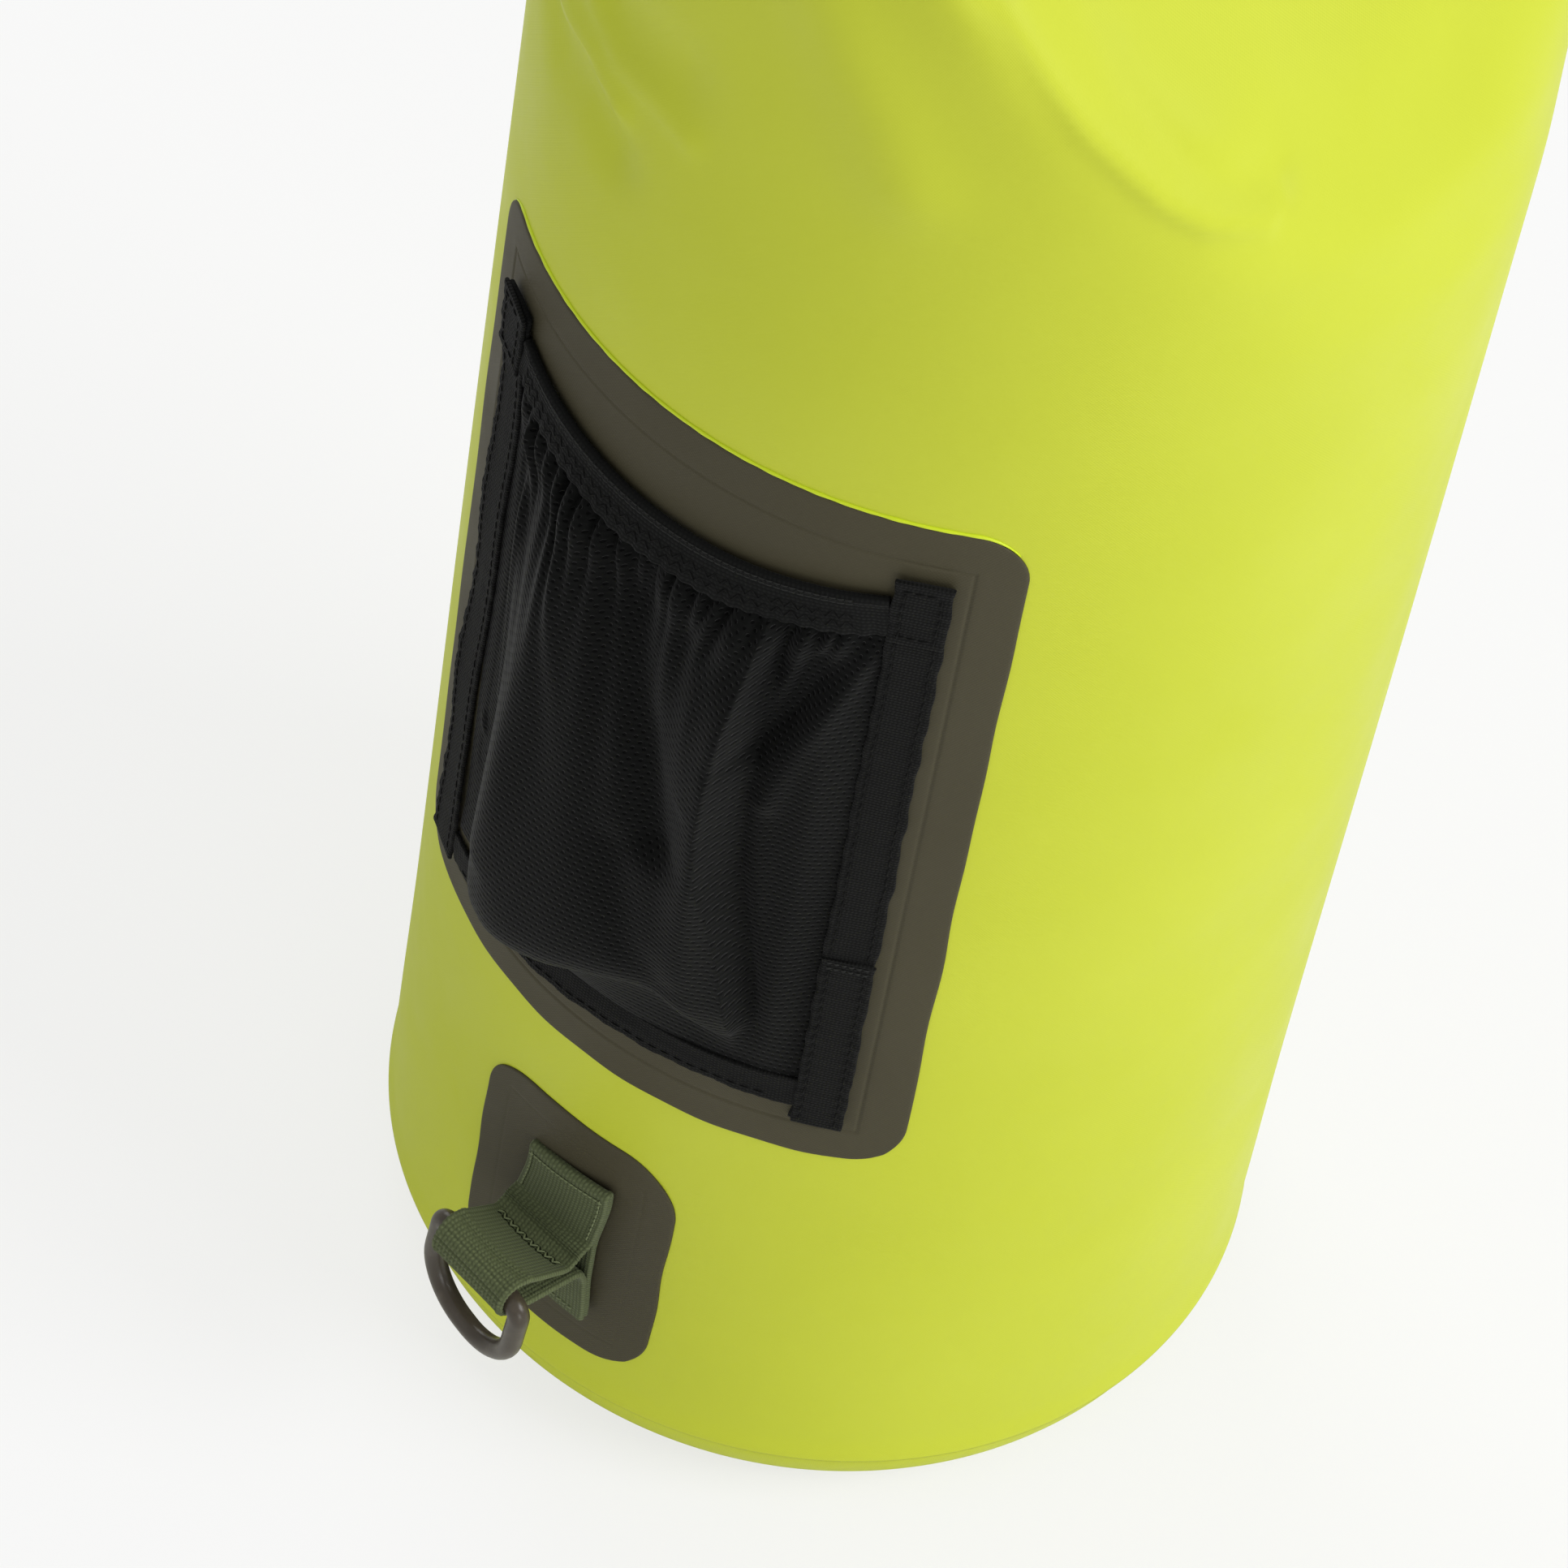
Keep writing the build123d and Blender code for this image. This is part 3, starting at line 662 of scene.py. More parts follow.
# %% Woven finishes
def woven(name, colour, light, rib, cross, depth, roughness, sheen, gloss, across=False):
    """Ribs that pass over and under: |sin(a)| lifted by sin(b), in turn. The ribs follow the
    piece, or with across they lie square to it."""
    m = new_material(name, colour, roughness, Specular_IOR_Level=gloss, Sheen_Weight=sheen,
                     Sheen_Roughness=0.45)
    a, b = cloth_place(m)[::-1] if across else cloth_place(m)
    column = sine(m, a, np.pi / rib)
    ridge = sums(m, "ABSOLUTE", column)
    which = sums(m, "SIGN", column)
    weft = sums(m, "SINE", sums(m, "ADD", times(m, b, np.pi / cross), times(m, which, np.pi / 4)))
    height = times(m, ridge, sums(m, "ADD", times(m, weft, 0.35), 0.65))
    fuzz = speckle(m, 900.0, 2.0)
    # Painted highlight and painted shade: rib tops take the lighter colour and the hollows between ribs
    # the darker one, mixed with random fuzz.
    rib_lit_share = sums(m, "MULTIPLY", height, sums(m, "ADD", times(m, fuzz, 0.6), 0.5), clamp=True)
    plug_in(m, Base_Color=colour_mix(m, rib_lit_share, colour, light),
            Normal=relief(m, height, depth, 0.9, relief(m, fuzz, 0.00008, 0.4)))
    return m


# Each woven finish has a darker and a lighter tone of one cloth, painted onto its ribs as shade and
# highlight.
black_tape = woven("black_binding_tape", (0.0035, 0.0036, 0.0033), (0.0105, 0.0108, 0.0100),
                   0.00085, 0.00045, 0.00020, 0.8, 0.03, 0.12, True)
black_elastic = woven("black_elastic", (0.0036, 0.0038, 0.0035), (0.0110, 0.0115, 0.0106),
                      0.00095, 0.00055, 0.00016, 0.8, 0.03, 0.12)
green_webbing = woven("green_webbing", (0.072, 0.087, 0.038), (0.152, 0.180, 0.086),
                      0.00110, 0.00046, 0.00022, 0.78, 0.06, 0.2)
black_thread = new_material("black_thread", (0.0045, 0.0046, 0.0042), 0.6,
                            Specular_IOR_Level=0.12)
# Grey thread; along the elastic's top edge it also carries a painted highlight for the sheen there.
grey_thread_and_sheen = new_material("grey_thread_and_sheen", (0.026, 0.027, 0.025), 0.6, Specular_IOR_Level=0.15)
# Painted shade: a dark webbing colour for the inside of needle holes.
needle_hole_shade = new_material("needle_hole_shade", (0.012, 0.016, 0.006), 0.8, Specular_IOR_Level=0.1)
green_thread = new_material("green_thread", (0.185, 0.215, 0.110), 0.6, Specular_IOR_Level=0.2)


HOLE_COLUMNS, HOLE_ROWS = 0.0024, 0.0016


def netting(name):
    """Knitted net: staggered rows of small sunk holes with painted shade in them, between shiny
    threads.
    """
    m = new_material(name, (0.0050, 0.0053, 0.0048), 0.62, Specular_IOR_Level=0.05,
                     Sheen_Weight=0.070, Sheen_Roughness=0.45)
    u, v = cloth_place(m)
    row = times(m, v, 1 / HOLE_ROWS)
    shift = times(m, sums(m, "MODULO", sums(m, "FLOOR", row), 2.0), 0.5)
    across = sums(m, "FRACT", sums(m, "ADD", times(m, u, 1 / HOLE_COLUMNS), shift))
    upward = sums(m, "FRACT", row)
    dx = times(m, sums(m, "SUBTRACT", across, 0.5), HOLE_COLUMNS)
    dy = times(m, sums(m, "SUBTRACT", upward, 0.5), HOLE_ROWS)
    gap = sums(m, "SQRT", sums(m, "ADD", times(m, dx, dx), times(m, dy, dy)))
    hole_sunk_and_shaded = node(m, "ShaderNodeMapRange", {"interpolation_type": "SMOOTHSTEP"}, Value=gap,
                From_Min=0.00028, From_Max=0.00052).outputs["Result"]
    ribs = sums(m, "ABSOLUTE", sine(m, v, np.pi / HOLE_ROWS))
    height = sums(m, "ADD", hole_sunk_and_shaded, times(m, ribs, -0.25))
    # Painted shade: the holes are coloured near black for the shaded inside of the pocket seen through
    # them.
    plug_in(m, Base_Color=colour_mix(m, hole_sunk_and_shaded, (0.0003, 0.0003, 0.0003), (0.0043, 0.0046, 0.0042)),
            Normal=relief(m, height, 0.00030, 0.9))
    return m


net = netting("black_net")

# %% [markdown]
# ### A bead of coating
# Welding squeezes a fine bead of the soft coat out along the pocket patch's upper edge. Its brighter
# lime is a painted highlight.

# %% Bead
BEAD_RADIUS, BEAD_LENGTH = 0.00042, 0.158
BEAD_HALF, BEAD_STRAIGHT = 0.0762, 0.0662   # arcs at its end and at the end of its straight


def swell(run):
    """The bead tapers out at both ends, and is a little uneven between."""
    ends = step(np.minimum(run, BEAD_LENGTH - run), -0.004, 0.016)
    return (0.15 + 0.85 * ends) * (1 + 0.15 * np.sin(run * 900) * np.sin(run * 210))


bead_arc = np.linspace(-BEAD_HALF, BEAD_HALF, 260)
past_corner = np.clip(np.abs(bead_arc) - BEAD_STRAIGHT, 0, None)
bead_z = (PATCH_Z + PATCH_HEIGHT / 2 + 0.0002 - PATCH_CORNER
          + np.sqrt(PATCH_CORNER ** 2 - past_corner ** 2))
path, across, outward = tube_frames(bead_arc, bead_z, 0.00012)
bead = carried("patch_weld_bead", path, across, outward, round_loop(BEAD_RADIUS, 10), lime_bead_highlight,
               "bag", lambda x, y, run: (x * swell(run), y * swell(run)))

# %% [markdown]
# ## The mesh pocket
# A rectangle of net is sewn in on three sides and gathered on an elastic at the top. It is
# wider and taller than its frame, so it hangs in a belly over its own lower hem, with a crest
# that ends in a sharp tuck at the hem. Each upright profile of the net is a smooth curve
# through six guide places, and the guides are functions of the arc length.

# %% Net of the pocket
NET_HALF = 0.0550
HEM_Z = 0.1725
NET_THICK = 0.0004


def spline_rows(guides, t):
    """Catmull-Rom through guide rows: guides (k, n), t from 0 to 1, gives (len(t), n)."""
    padded = np.concatenate([2 * guides[:1] - guides[1:2], guides, 2 * guides[-1:] - guides[-2:-1]])
    place = t * (len(guides) - 1)
    k = np.clip(place.astype(int), 0, len(guides) - 2)
    f = (place - k)[:, None]
    p0, p1, p2, p3 = (padded[k + i] for i in range(4))
    return 0.5 * (2 * p1 + (p2 - p0) * f + (2 * p0 - 5 * p1 + 4 * p2 - p3) * f ** 2
                  + (3 * p1 - p0 - 3 * p2 + p3) * f ** 3)


def mouth(arc):
    """Stand-off of the pocket's upper edge, which the elastic holds near the patch."""
    return along_arc(arc, (-52, 1.2), (-40, 2.0), (-20, 2.6), (0, 2.8), (20, 2.6), (40, 2.0),
                     (52, 1.2))


def band_height(arc):
    """Height of the elastic's middle line: it sags between its two sewn ends."""
    return along_arc(arc, (-55, 339.6), (-40, 336.4), (-20, 333.4), (0, 332.4), (20, 333.2),
                     (38, 336.0), (55, 339.4))


cols, rows = 300, 160
net_arc = np.linspace(-NET_HALF, NET_HALF, cols)
net_t = np.linspace(0, 1, rows)
level = np.ones(cols)


def held_at_sides(*pairs):
    """Stand-off along the net, from guides in mm. Both sides are sewn down under the tapes."""
    return along_arc(net_arc, (-55, 0.8), (-52, 1.1), *pairs, (52, 1.1), (55, 0.8))


hem_off = 0.0014 * level
tuck_off = held_at_sides((-44, 1.8), (-36, 4.5), (-28, 8.0), (-15, 8.6), (5, 7.4), (20, 5.2),
                         (30, 3.0), (38, 2.2), (44, 2.6))
tuck_z = along_arc(net_arc, (-52, 186), (-40, 183), (-34, 180), (-24, 180), (-7, 183),
                   (5, 188), (18, 191), (27, 188), (35, 184), (42, 188), (52, 190))
belly_off = held_at_sides((-44, 1.8), (-38, 5.5), (-33, 11.5), (-24, 16.0), (-7, 17.2), (5, 16.4),
                          (18, 13.6), (27, 10.4), (33, 5.8), (38, 3.4), (44, 3.6))
belly_z = along_arc(net_arc, (-52, 208), (-40, 199), (-34, 191), (-24, 190), (-7, 196),
                    (5, 203), (18, 206), (27, 199), (35, 194), (42, 204), (52, 212))
waist_off = held_at_sides((-44, 2.0), (-38, 5.4), (-33, 9.6), (-25, 14.0), (-15, 13.2), (0, 12.0),
                          (10, 10.8), (17, 11.6), (25, 14.0), (30, 7.4), (38, 4.2), (44, 3.8))
upper_off = held_at_sides((-46, 2.2), (-40, 5.0), (-33, 8.0), (-20, 11.8), (-10, 9.0), (-2, 7.0),
                          (8, 8.6), (18, 10.8), (26, 12.4), (31, 6.8), (36, 4.6), (44, 5.0))
net_off = spline_rows(np.array([hem_off, tuck_off, belly_off, waist_off, upper_off,
                                mouth(net_arc) - 0.0002]), net_t)
net_z = spline_rows(np.array([HEM_Z * level, tuck_z, belly_z, 0.250 * level, 0.298 * level,
                              band_height(net_arc) - 0.0036]), net_t)
edge_fade = step(NET_HALF - np.abs(net_arc), 0.0015, 0.008)[None]
arcs = np.broadcast_to(net_arc[None], net_z.shape)
down = net_z[-1:] - net_z

draw = np.random.default_rng(77)
places = np.cumsum(draw.uniform(0.0040, 0.0068, 22)) - 0.0540
pleats = 0.0024 * np.exp(-((down - 0.0085) / 0.0070) ** 2)
for place in places[np.abs(places) < 0.049]:
    long, deep, slim, lean = draw.uniform([0.014, 0.0020, 0.0007, -0.10],
                                          [0.034, 0.0036, 0.0012, 0.10])
    long *= 1.0 + 0.9 * (place < -0.012)
    side = arcs - place - (lean - 0.25 * place / 0.05) * down
    spread = slim * (1 + down / 0.020)
    pleats -= deep * np.exp(-(side / spread) ** 2 - (down / long) ** 1.6)
pleats *= 0.25 + 0.75 * step(down, 0.000, 0.005)

ridge_arc = np.interp(net_z, [0.175, 0.190, 0.208, 0.231, 0.246, 0.262, 0.280, 0.295, 0.309, 0.330],
                      [0.0365, 0.0360, 0.0330, 0.0290, 0.0262, 0.0250, 0.0250, 0.0256, 0.0268,
                       0.0285])
side = arcs - ridge_arc
ridge = 0.0042 * np.where(side < 0, np.exp(side / 0.0060), np.exp(-side / 0.0011))
ridge *= step(net_z, 0.176, 0.200) * (1 - 0.5 * step(net_z, 0.305, 0.330))
behind = -0.0028 * np.exp(-((side - 0.0042) / 0.0028) ** 2) * step(net_z, 0.180, 0.210)
folds = creases(arcs, net_z, (
    ([(-0.0046, 0.3287), (-0.0011, 0.307), (0.0037, 0.286), (0.0099, 0.266), (0.0140, 0.248)],
     0.0058, -0.0044),
    ([(0.0498, 0.331), (0.0433, 0.3197), (0.0360, 0.303), (0.0290, 0.286)], 0.0034, -0.0026),
    ([(0.0505, 0.322), (0.0450, 0.309), (0.0390, 0.292), (0.0345, 0.270)], 0.0030, 0.0013),
    ([(-0.0470, 0.330), (-0.0455, 0.290), (-0.0462, 0.240), (-0.0485, 0.205)], 0.0018, -0.0014),
    ([(-0.0420, 0.325), (-0.0405, 0.285), (-0.0400, 0.240)], 0.0016, 0.0012),
    ([(-0.0510, 0.218), (-0.0440, 0.205), (-0.0385, 0.196)], 0.0016, 0.0012),
    ([(-0.0200, 0.322), (-0.0225, 0.285), (-0.0250, 0.240), (-0.0275, 0.205)], 0.0050, 0.0012),
    ([(0.0130, 0.325), (0.0165, 0.300), (0.0190, 0.270)], 0.0030, 0.0011),
    ([(0.0060, 0.240), (0.0130, 0.215), (0.0200, 0.203)], 0.0050, -0.0012)))
wide = waves(arcs * 120, net_z * 26, 91, 6, 0.6, 1.5) * 0.0004
net_off = np.maximum(net_off + (pleats + wide + ridge + behind + folds) * edge_fade, 0.0008)
net_points = on_tube(arcs, net_z, net_off)
drape_run = np.concatenate([np.zeros((1, cols)), np.cumsum(np.linalg.norm(
    np.diff(net_points, axis=0), axis=-1), 0)])
even_run = drape_run.mean(1, keepdims=True)
net_uv = np.stack([arcs * 1.15, 0.6 * drape_run + 0.4 * even_run], -1)
pocket_net = mesh_piece("pocket_net", net_points, grid_faces(rows, cols), net_uv, net)
thicken(pocket_net, "net thickness", NET_THICK)
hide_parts("pocket_mesh")


# %% Elastic at the pocket's mouth
def gathered(x, y, run):
    """Fine upright ripples, deeper at the lower edge, where the net is gathered in. The
    upper edge leans back towards the patch."""
    lower = step(-x, -0.002, 0.0062)
    ripple = np.sin(run / 0.0041 * 2 * np.pi + 1.5 * np.sin(run * 90)) * (0.00004 + 0.00022 * lower)
    rolled = 0.00045 * np.exp(-((x - 0.0045) / 0.0010) ** 2) * np.sign(y)
    lean = -0.24 * x * np.sin(np.pi * np.clip(run / 0.107, 0, 1))
    return x + 0.00030 * np.sin(run * 240) * lower, y + ripple + rolled + lean


band_arc = np.linspace(-0.0525, 0.0525, 520)
band_z = band_height(band_arc)
path, across, outward = tube_frames(band_arc, band_z, mouth(band_arc) + 0.0009)
elastic = carried("pocket_elastic_band", path, across * np.sign(across[:, 2:3]), outward,
                  flat_loop(0.0118, 0.0013, 33), black_elastic, "bag", gathered)
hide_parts("pocket_elastic")


# %% [markdown]
# ### Binding tapes
# Woven tape is laid over the net's raw edges and stitched along both sides. Stitching draws
# it in a little at every stitch, so its edges are never quite straight. The side tapes are
# turned over at the top, and a second length is joined on at the lower front end.

# %% Binding tapes of the pocket
def hand_laid(seed, sway, lift):
    """Changes a tape's outline as it runs: it sways, lifts and puckers between stitches."""
    def shape(x, y, run):
        slow = waves(run * 60, 0 * run, seed, 5, 0.5, 1.6)
        fine = np.sin(run / 0.0034 * 2 * np.pi)
        edge = np.abs(x) / 0.0065
        pucker = waves(run * 560, x * 90, seed + 2, 5, 0.5, 1.5)
        side = x + slow * sway + np.sign(x) * 0.00022 * edge * pucker
        return side, y + lift * waves(run * 90, x * 180, seed + 1, 5, 0.6, 1.7) * (
            0.5 + edge) + (0.00008 * fine + 0.00012 * pucker) * edge
    return shape


def binding(name, arcs, heights, off, width, thick, seed, replaced, sway=0.0004, lift=0.0003):
    """A tape through (arc, height, stand-off) guides, each given at the same steps."""
    t = np.linspace(0, 1, 260)
    given = np.linspace(0, 1, len(arcs))
    path, across, outward = tube_frames(np.interp(t, given, arcs), np.interp(t, given, heights),
                                        np.interp(t, given, np.broadcast_to(off, len(arcs))))
    piece = carried(name, path, across, outward, flat_loop(width, thick, 19), black_tape, "bag",
                    hand_laid(seed, sway, lift))
    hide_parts(*replaced)
    return piece


tape_z = [0.1602, 0.20, 0.24, 0.28, 0.31, 0.3502]
binding("binding_tape_right", [0.0583] * 6, tape_z,
        [0.0013, 0.0015, 0.0015, 0.0015, 0.0015, 0.0016], 0.0124, 0.0011, 5, ["binding_right"],
        0.0003, 0.0002)
binding("binding_tape_left", [-0.0625, -0.0606, -0.0598, -0.0592, -0.0588, -0.0580],
        [0.1585, 0.20, 0.24, 0.28, 0.31, 0.3496],
        [0.0024, 0.0015, 0.0015, 0.0016, 0.0017, 0.0018], 0.0124, 0.0011, 9, ["binding_left"],
        0.0008, 0.0003)
binding("binding_tape_bottom", [-0.0560, -0.040, -0.012, 0.012, 0.034, 0.0540],
        [0.1640, 0.1660, 0.1684, 0.1690, 0.1697, 0.1702], [0.0017] * 6, 0.0096, 0.0010, 13,
        ["binding_bottom"])
binding("binding_turn_right", [0.0583] * 3, [0.3322, 0.341, 0.3512], [0.0027, 0.0026, 0.0026],
        0.0126, 0.0010, 17, ["binding_fold_right"], 0.0001, 0.0001)
binding("binding_turn_left", [-0.0584, -0.0580, -0.0576], [0.3322, 0.341, 0.3506],
        [0.0029, 0.0030, 0.0034], 0.0126, 0.0010, 19, ["binding_fold_left"], 0.0002, 0.0002)
binding("binding_join", [0.0583] * 3, [0.1606, 0.19, 0.2222], [0.0026, 0.0025, 0.0025],
        0.0122, 0.0009, 23, ["binding_splice"], 0.0002, 0.0002)

# %% Sewing on the pocket
sewn("pocket_stitches", [
    *(stitch_row(tape, x, 0.00062, 0.002, end) for tape, end in
      (("binding_tape_right", 0.172), ("binding_tape_left", 0.172)) for x in (-0.0042, 0.0042)),
    *(stitch_row(tape, x, 0.00058, 0.0015, 0.0180, 0.0030, 0.0024) for tape in
      ("binding_turn_right", "binding_turn_left") for x in (-0.0040, 0.0040)),
    *(cross_row(tape, at, 0.00058, 0.0046) for tape in
      ("binding_turn_right", "binding_turn_left") for at in (0.0022, 0.0165)),
    *(stitch_row("binding_join", x, 0.00052, 0.001, 0.058) for x in (-0.0042, 0.0042)),
    stitch_row("binding_tape_bottom", 0.0026, 0.00058, 0.006, 0.106),
], 0.00042, black_thread)
sewn("elastic_zigzag_stitches", [zigzag_row("pocket_elastic_band", x, 0.00070, 0.0010, 0.004,
                                            0.102, 0.0015) for x in (-0.0028, -0.0004)],
     0.00030, black_thread)
# Partly stitching, partly painted highlight: two tight grey rows along the elastic's rolled top edge
# stand for its sheen.
sewn("elastic_edge_sheen_stitches", [stitch_row("pocket_elastic_band", x, 0.00112, 0.003, 0.102,
                                          0.0018, 0.0016) for x in (0.0040, 0.0050)],
     0.00030, grey_thread_and_sheen)
sewn("join_stitches", [cross_row("binding_join", at, 0.00052, 0.0050, 0.0017, 0.0013)
                       for at in (0.0588, 0.0606)], 0.00042, grey_thread_and_sheen)


# %% [markdown]
# ## Webbing tab and ring
# One strip of webbing is sewn to the patch, leaves it at the root, goes out round the ring's
# bar and comes back, and its other end is sewn down below the root. It crosses the tab's
# joint.

# %% Tab of the lower ring
def arcs_and_runs(points, radii, spacing=0.0004):
    """A path of straight runs whose corners are rounded: at a corner with directions d1, d2
    an arc of the given radius touches both runs."""
    out = [points[0]]
    for before, corner, after, r in zip(points[:-2], points[1:-1], points[2:], radii):
        d1, d2 = unit(corner - before), unit(after - corner)
        half = np.arccos(np.clip(d1 @ d2, -1, 1)) / 2
        cut = r * np.tan(half)
        start = corner - d1 * cut
        inward = unit(d2 - d1)
        centre = corner + inward * (r / np.cos(half))
        angle = np.linspace(-half, half, max(4, int(2 * half * r / spacing)))
        axis_out = -inward
        axis_on = unit(d1 + d2)
        out += list(centre + r * (np.cos(angle)[:, None] * axis_out + np.sin(angle)[:, None] * axis_on))
    out.append(points[-1])
    out = np.array(out)
    run = run_along(out)
    keep = np.concatenate([[True], np.diff(run) > 1e-7])
    out, run = out[keep], run[keep]
    even = np.linspace(0, run[-1], max(8, int(run[-1] / spacing)))
    return np.stack([np.interp(even, run, out[:, k]) for k in range(3)], -1)


WEB, WEB_WIDTH = 0.0015, 0.026


def webbing_piece(name, path, bar_direction, body, seed, replaced, sag=None, warp=None,
                  bar_run=-1.0):
    """Webbing along a path, its width along the bar's direction at every step. It is drawn
    a little narrower over the bar of a ring."""
    along = unit(np.gradient(path, axis=0))
    across = np.broadcast_to(np.array(bar_direction, float), path.shape)
    outward = unit(np.cross(along, across))

    def shape(x, y, run):
        selvedge = 0.00024 * np.exp(-((np.abs(x) - WEB_WIDTH / 2 + 0.0011) / 0.0006) ** 2)
        lift = 0.00018 * waves(run * 160, x * 120, seed, 5, 0.5, 1.5)
        drawn_in = 1 - 0.05 * np.exp(-((run - bar_run) / 0.009) ** 2)
        return x * drawn_in, y + np.sign(y) * selvedge + lift + (sag(x, run) if sag else 0)

    piece = carried(name, path, across, outward, flat_loop(WEB_WIDTH, WEB, 41), green_webbing,
                    body, shape, False, warp)
    if replaced:
        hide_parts(*replaced)
    return piece


RING_WIRE = 0.00275
EYE = RING_WIRE + 0.0009 + WEB / 2
root = np.array([-0.114881, 0.0, 0.0775])
rise, yaw = np.radians([20.0, 5.0])
out = np.array([-np.cos(yaw), np.sin(yaw), 0])
bar_line = np.array([-np.sin(yaw), -np.cos(yaw), 0])
along_tab = out * np.cos(rise) + np.array([0, 0, np.sin(rise)])
over_tab = out * -np.sin(rise) + np.array([0, 0, np.cos(rise)])
bar_at = root + 0.0235 * along_tab
wall_x = -(R + 0.0009 + WEB / 2)
front_x = wall_x - WEB - 0.0001
path = arcs_and_runs(np.array([
    [wall_x, 0, 0.0540], [wall_x, 0, 0.1032], [front_x, 0, 0.1032], [front_x, 0, 0.0806],
    root + over_tab * 0.0012 + along_tab * 0.006,
    bar_at + over_tab * EYE - along_tab * 0.003, bar_at + over_tab * EYE + along_tab * EYE,
    bar_at - over_tab * EYE + along_tab * EYE, bar_at - over_tab * EYE - along_tab * 0.003,
    [front_x - 0.0012, 0, 0.0742], [front_x, 0, 0.0680], [front_x + 0.0001, 0, 0.0536]]),
    [0.0008, 0.0008, 0.0045, 0.004, EYE * 0.97, EYE * 0.97, 0.004, 0.0014, 0.004, 0.004], 0.00022)
run_of_tab = run_along(path)
hem_run = run_of_tab[np.argmax(path[:, 2])]
tab_bar_run = run_of_tab[np.argmin(path[:, 0])]
tab_root_run = run_of_tab[(run_of_tab > hem_run + 0.004) & (path[:, 0] < front_x - 0.0012)][0]
tab_back_run = run_of_tab[(run_of_tab > tab_bar_run) & (path[:, 0] > front_x - 0.0012)][0]


def tab_lean(points, run):
    """The sewn parts wrap round the tube, and the upper one leans a little to the front."""
    flat = 1 - step(run, tab_root_run - 0.004, tab_root_run) + step(
        run, tab_back_run, tab_back_run + 0.004)
    z = points[..., 2]
    upper = step(z, 0.080, 0.100) * flat
    lower = (1 - step(z, 0.056, 0.070)) * flat
    loose = step(run, tab_root_run + 0.004, tab_bar_run - 0.004) * (
        1 - step(run, tab_bar_run + 0.004, tab_back_run - 0.004))
    y = points[..., 1] - 0.0023 * upper - 0.0008 * lower
    z = z - 0.148 * y * upper + 0.035 * y * loose
    x = points[..., 0] + (R - np.sqrt(R * R - y * y)) * flat + 0.045 * y * loose
    return np.stack([x, y, z], -1)


def ribbed(run, first, last, pitch, height):
    """Raised cross ribs between two places along a strip: height * |sin|, faded at the ends."""
    fade = step(run, first - pitch, first) * (1 - step(run, last, last + pitch))
    return height * np.abs(np.sin(np.pi * (run - first) / pitch)) * fade


def tab_sag(x, run):
    """The doubled webbing dips in the middle of its width, between the root and the bar. It
    is ribbed where it bends, at the root and over the bar."""
    middle = step(run, tab_root_run, tab_root_run + 0.006) * (
        1 - step(run, tab_bar_run - 0.010, tab_bar_run - 0.002))
    ridge = 0.0013 * np.exp(-((run - tab_root_run - 0.0010) / 0.0028) ** 2)
    ribs = (ribbed(run, tab_root_run - 0.0018, tab_root_run + 0.0042, 0.0012, 0.00055)
            + ribbed(run, tab_bar_run - 0.0118, tab_bar_run + 0.0050, 0.0012, 0.00050)
            + ribbed(run, tab_bar_run + 0.0080, tab_back_run - 0.0020, 0.0012, 0.00040))
    return ridge + ribs - 0.0015 * middle * (1 - (2 * x / WEB_WIDTH) ** 2)


tab = webbing_piece("ring_tab_webbing", path, bar_line, None, 31, ["tab_base", "tab_loop"],
                    tab_sag, tab_lean, tab_bar_run)
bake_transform(tab)
tab_rows = [
    cross_row("ring_tab_webbing", hem_run + 0.0026, WEB / 2 + 0.0002, 0.0120, 0.0015, 0.0014),
    *(stitch_row("ring_tab_webbing", x, WEB / 2 + 0.0002, hem_run + 0.002, tab_root_run - 0.004,
                 0.0018, 0.0015) for x in (-0.0112, 0.0112)),
    cross_zigzag("ring_tab_webbing", tab_root_run + 0.0068, WEB / 2 + 0.0001, 0.0104, 0.0009),
    cross_row("ring_tab_webbing", run_of_tab[-1] - 0.0024, WEB / 2, 0.0115, 0.0018, 0.0015)]
tab_thread = sewn("ring_tab_stitches", tab_rows, 0.00052, green_thread, None)
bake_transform(tab_thread)
# Dark spindles sunk beside the zigzag stand for the painted shade inside the needle holes.
hole_rows = [cross_zigzag("ring_tab_webbing", tab_root_run + at, WEB / 2 - 0.0001, 0.0104, 0.0004)
             for at in (0.0060, 0.0076)]
tab_holes = sewn("ring_tab_needle_holes", hole_rows, 0.00050, needle_hole_shade, None)
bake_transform(tab_holes)


# %% The two D-rings
def moulded(name, colour, light, roughness):
    """Nylon from a mould: fine grain, and paler in soft random patches."""
    m = new_material(name, colour, roughness, Specular_IOR_Level=0.4)
    pale_patches = node(m, "ShaderNodeMapRange", Value=speckle(m, 260.0, 6.0), From_Min=0.52,
                  From_Max=0.75).outputs["Result"]
    plug_in(m, Base_Color=colour_mix(m, pale_patches, colour, light),
            Normal=relief(m, speckle(m, 1500.0, 2.0), 0.00003, 0.5))
    return m


ring_brown = moulded("ring_brown_enamel", (0.062, 0.050, 0.035), (0.088, 0.072, 0.052), 0.30)


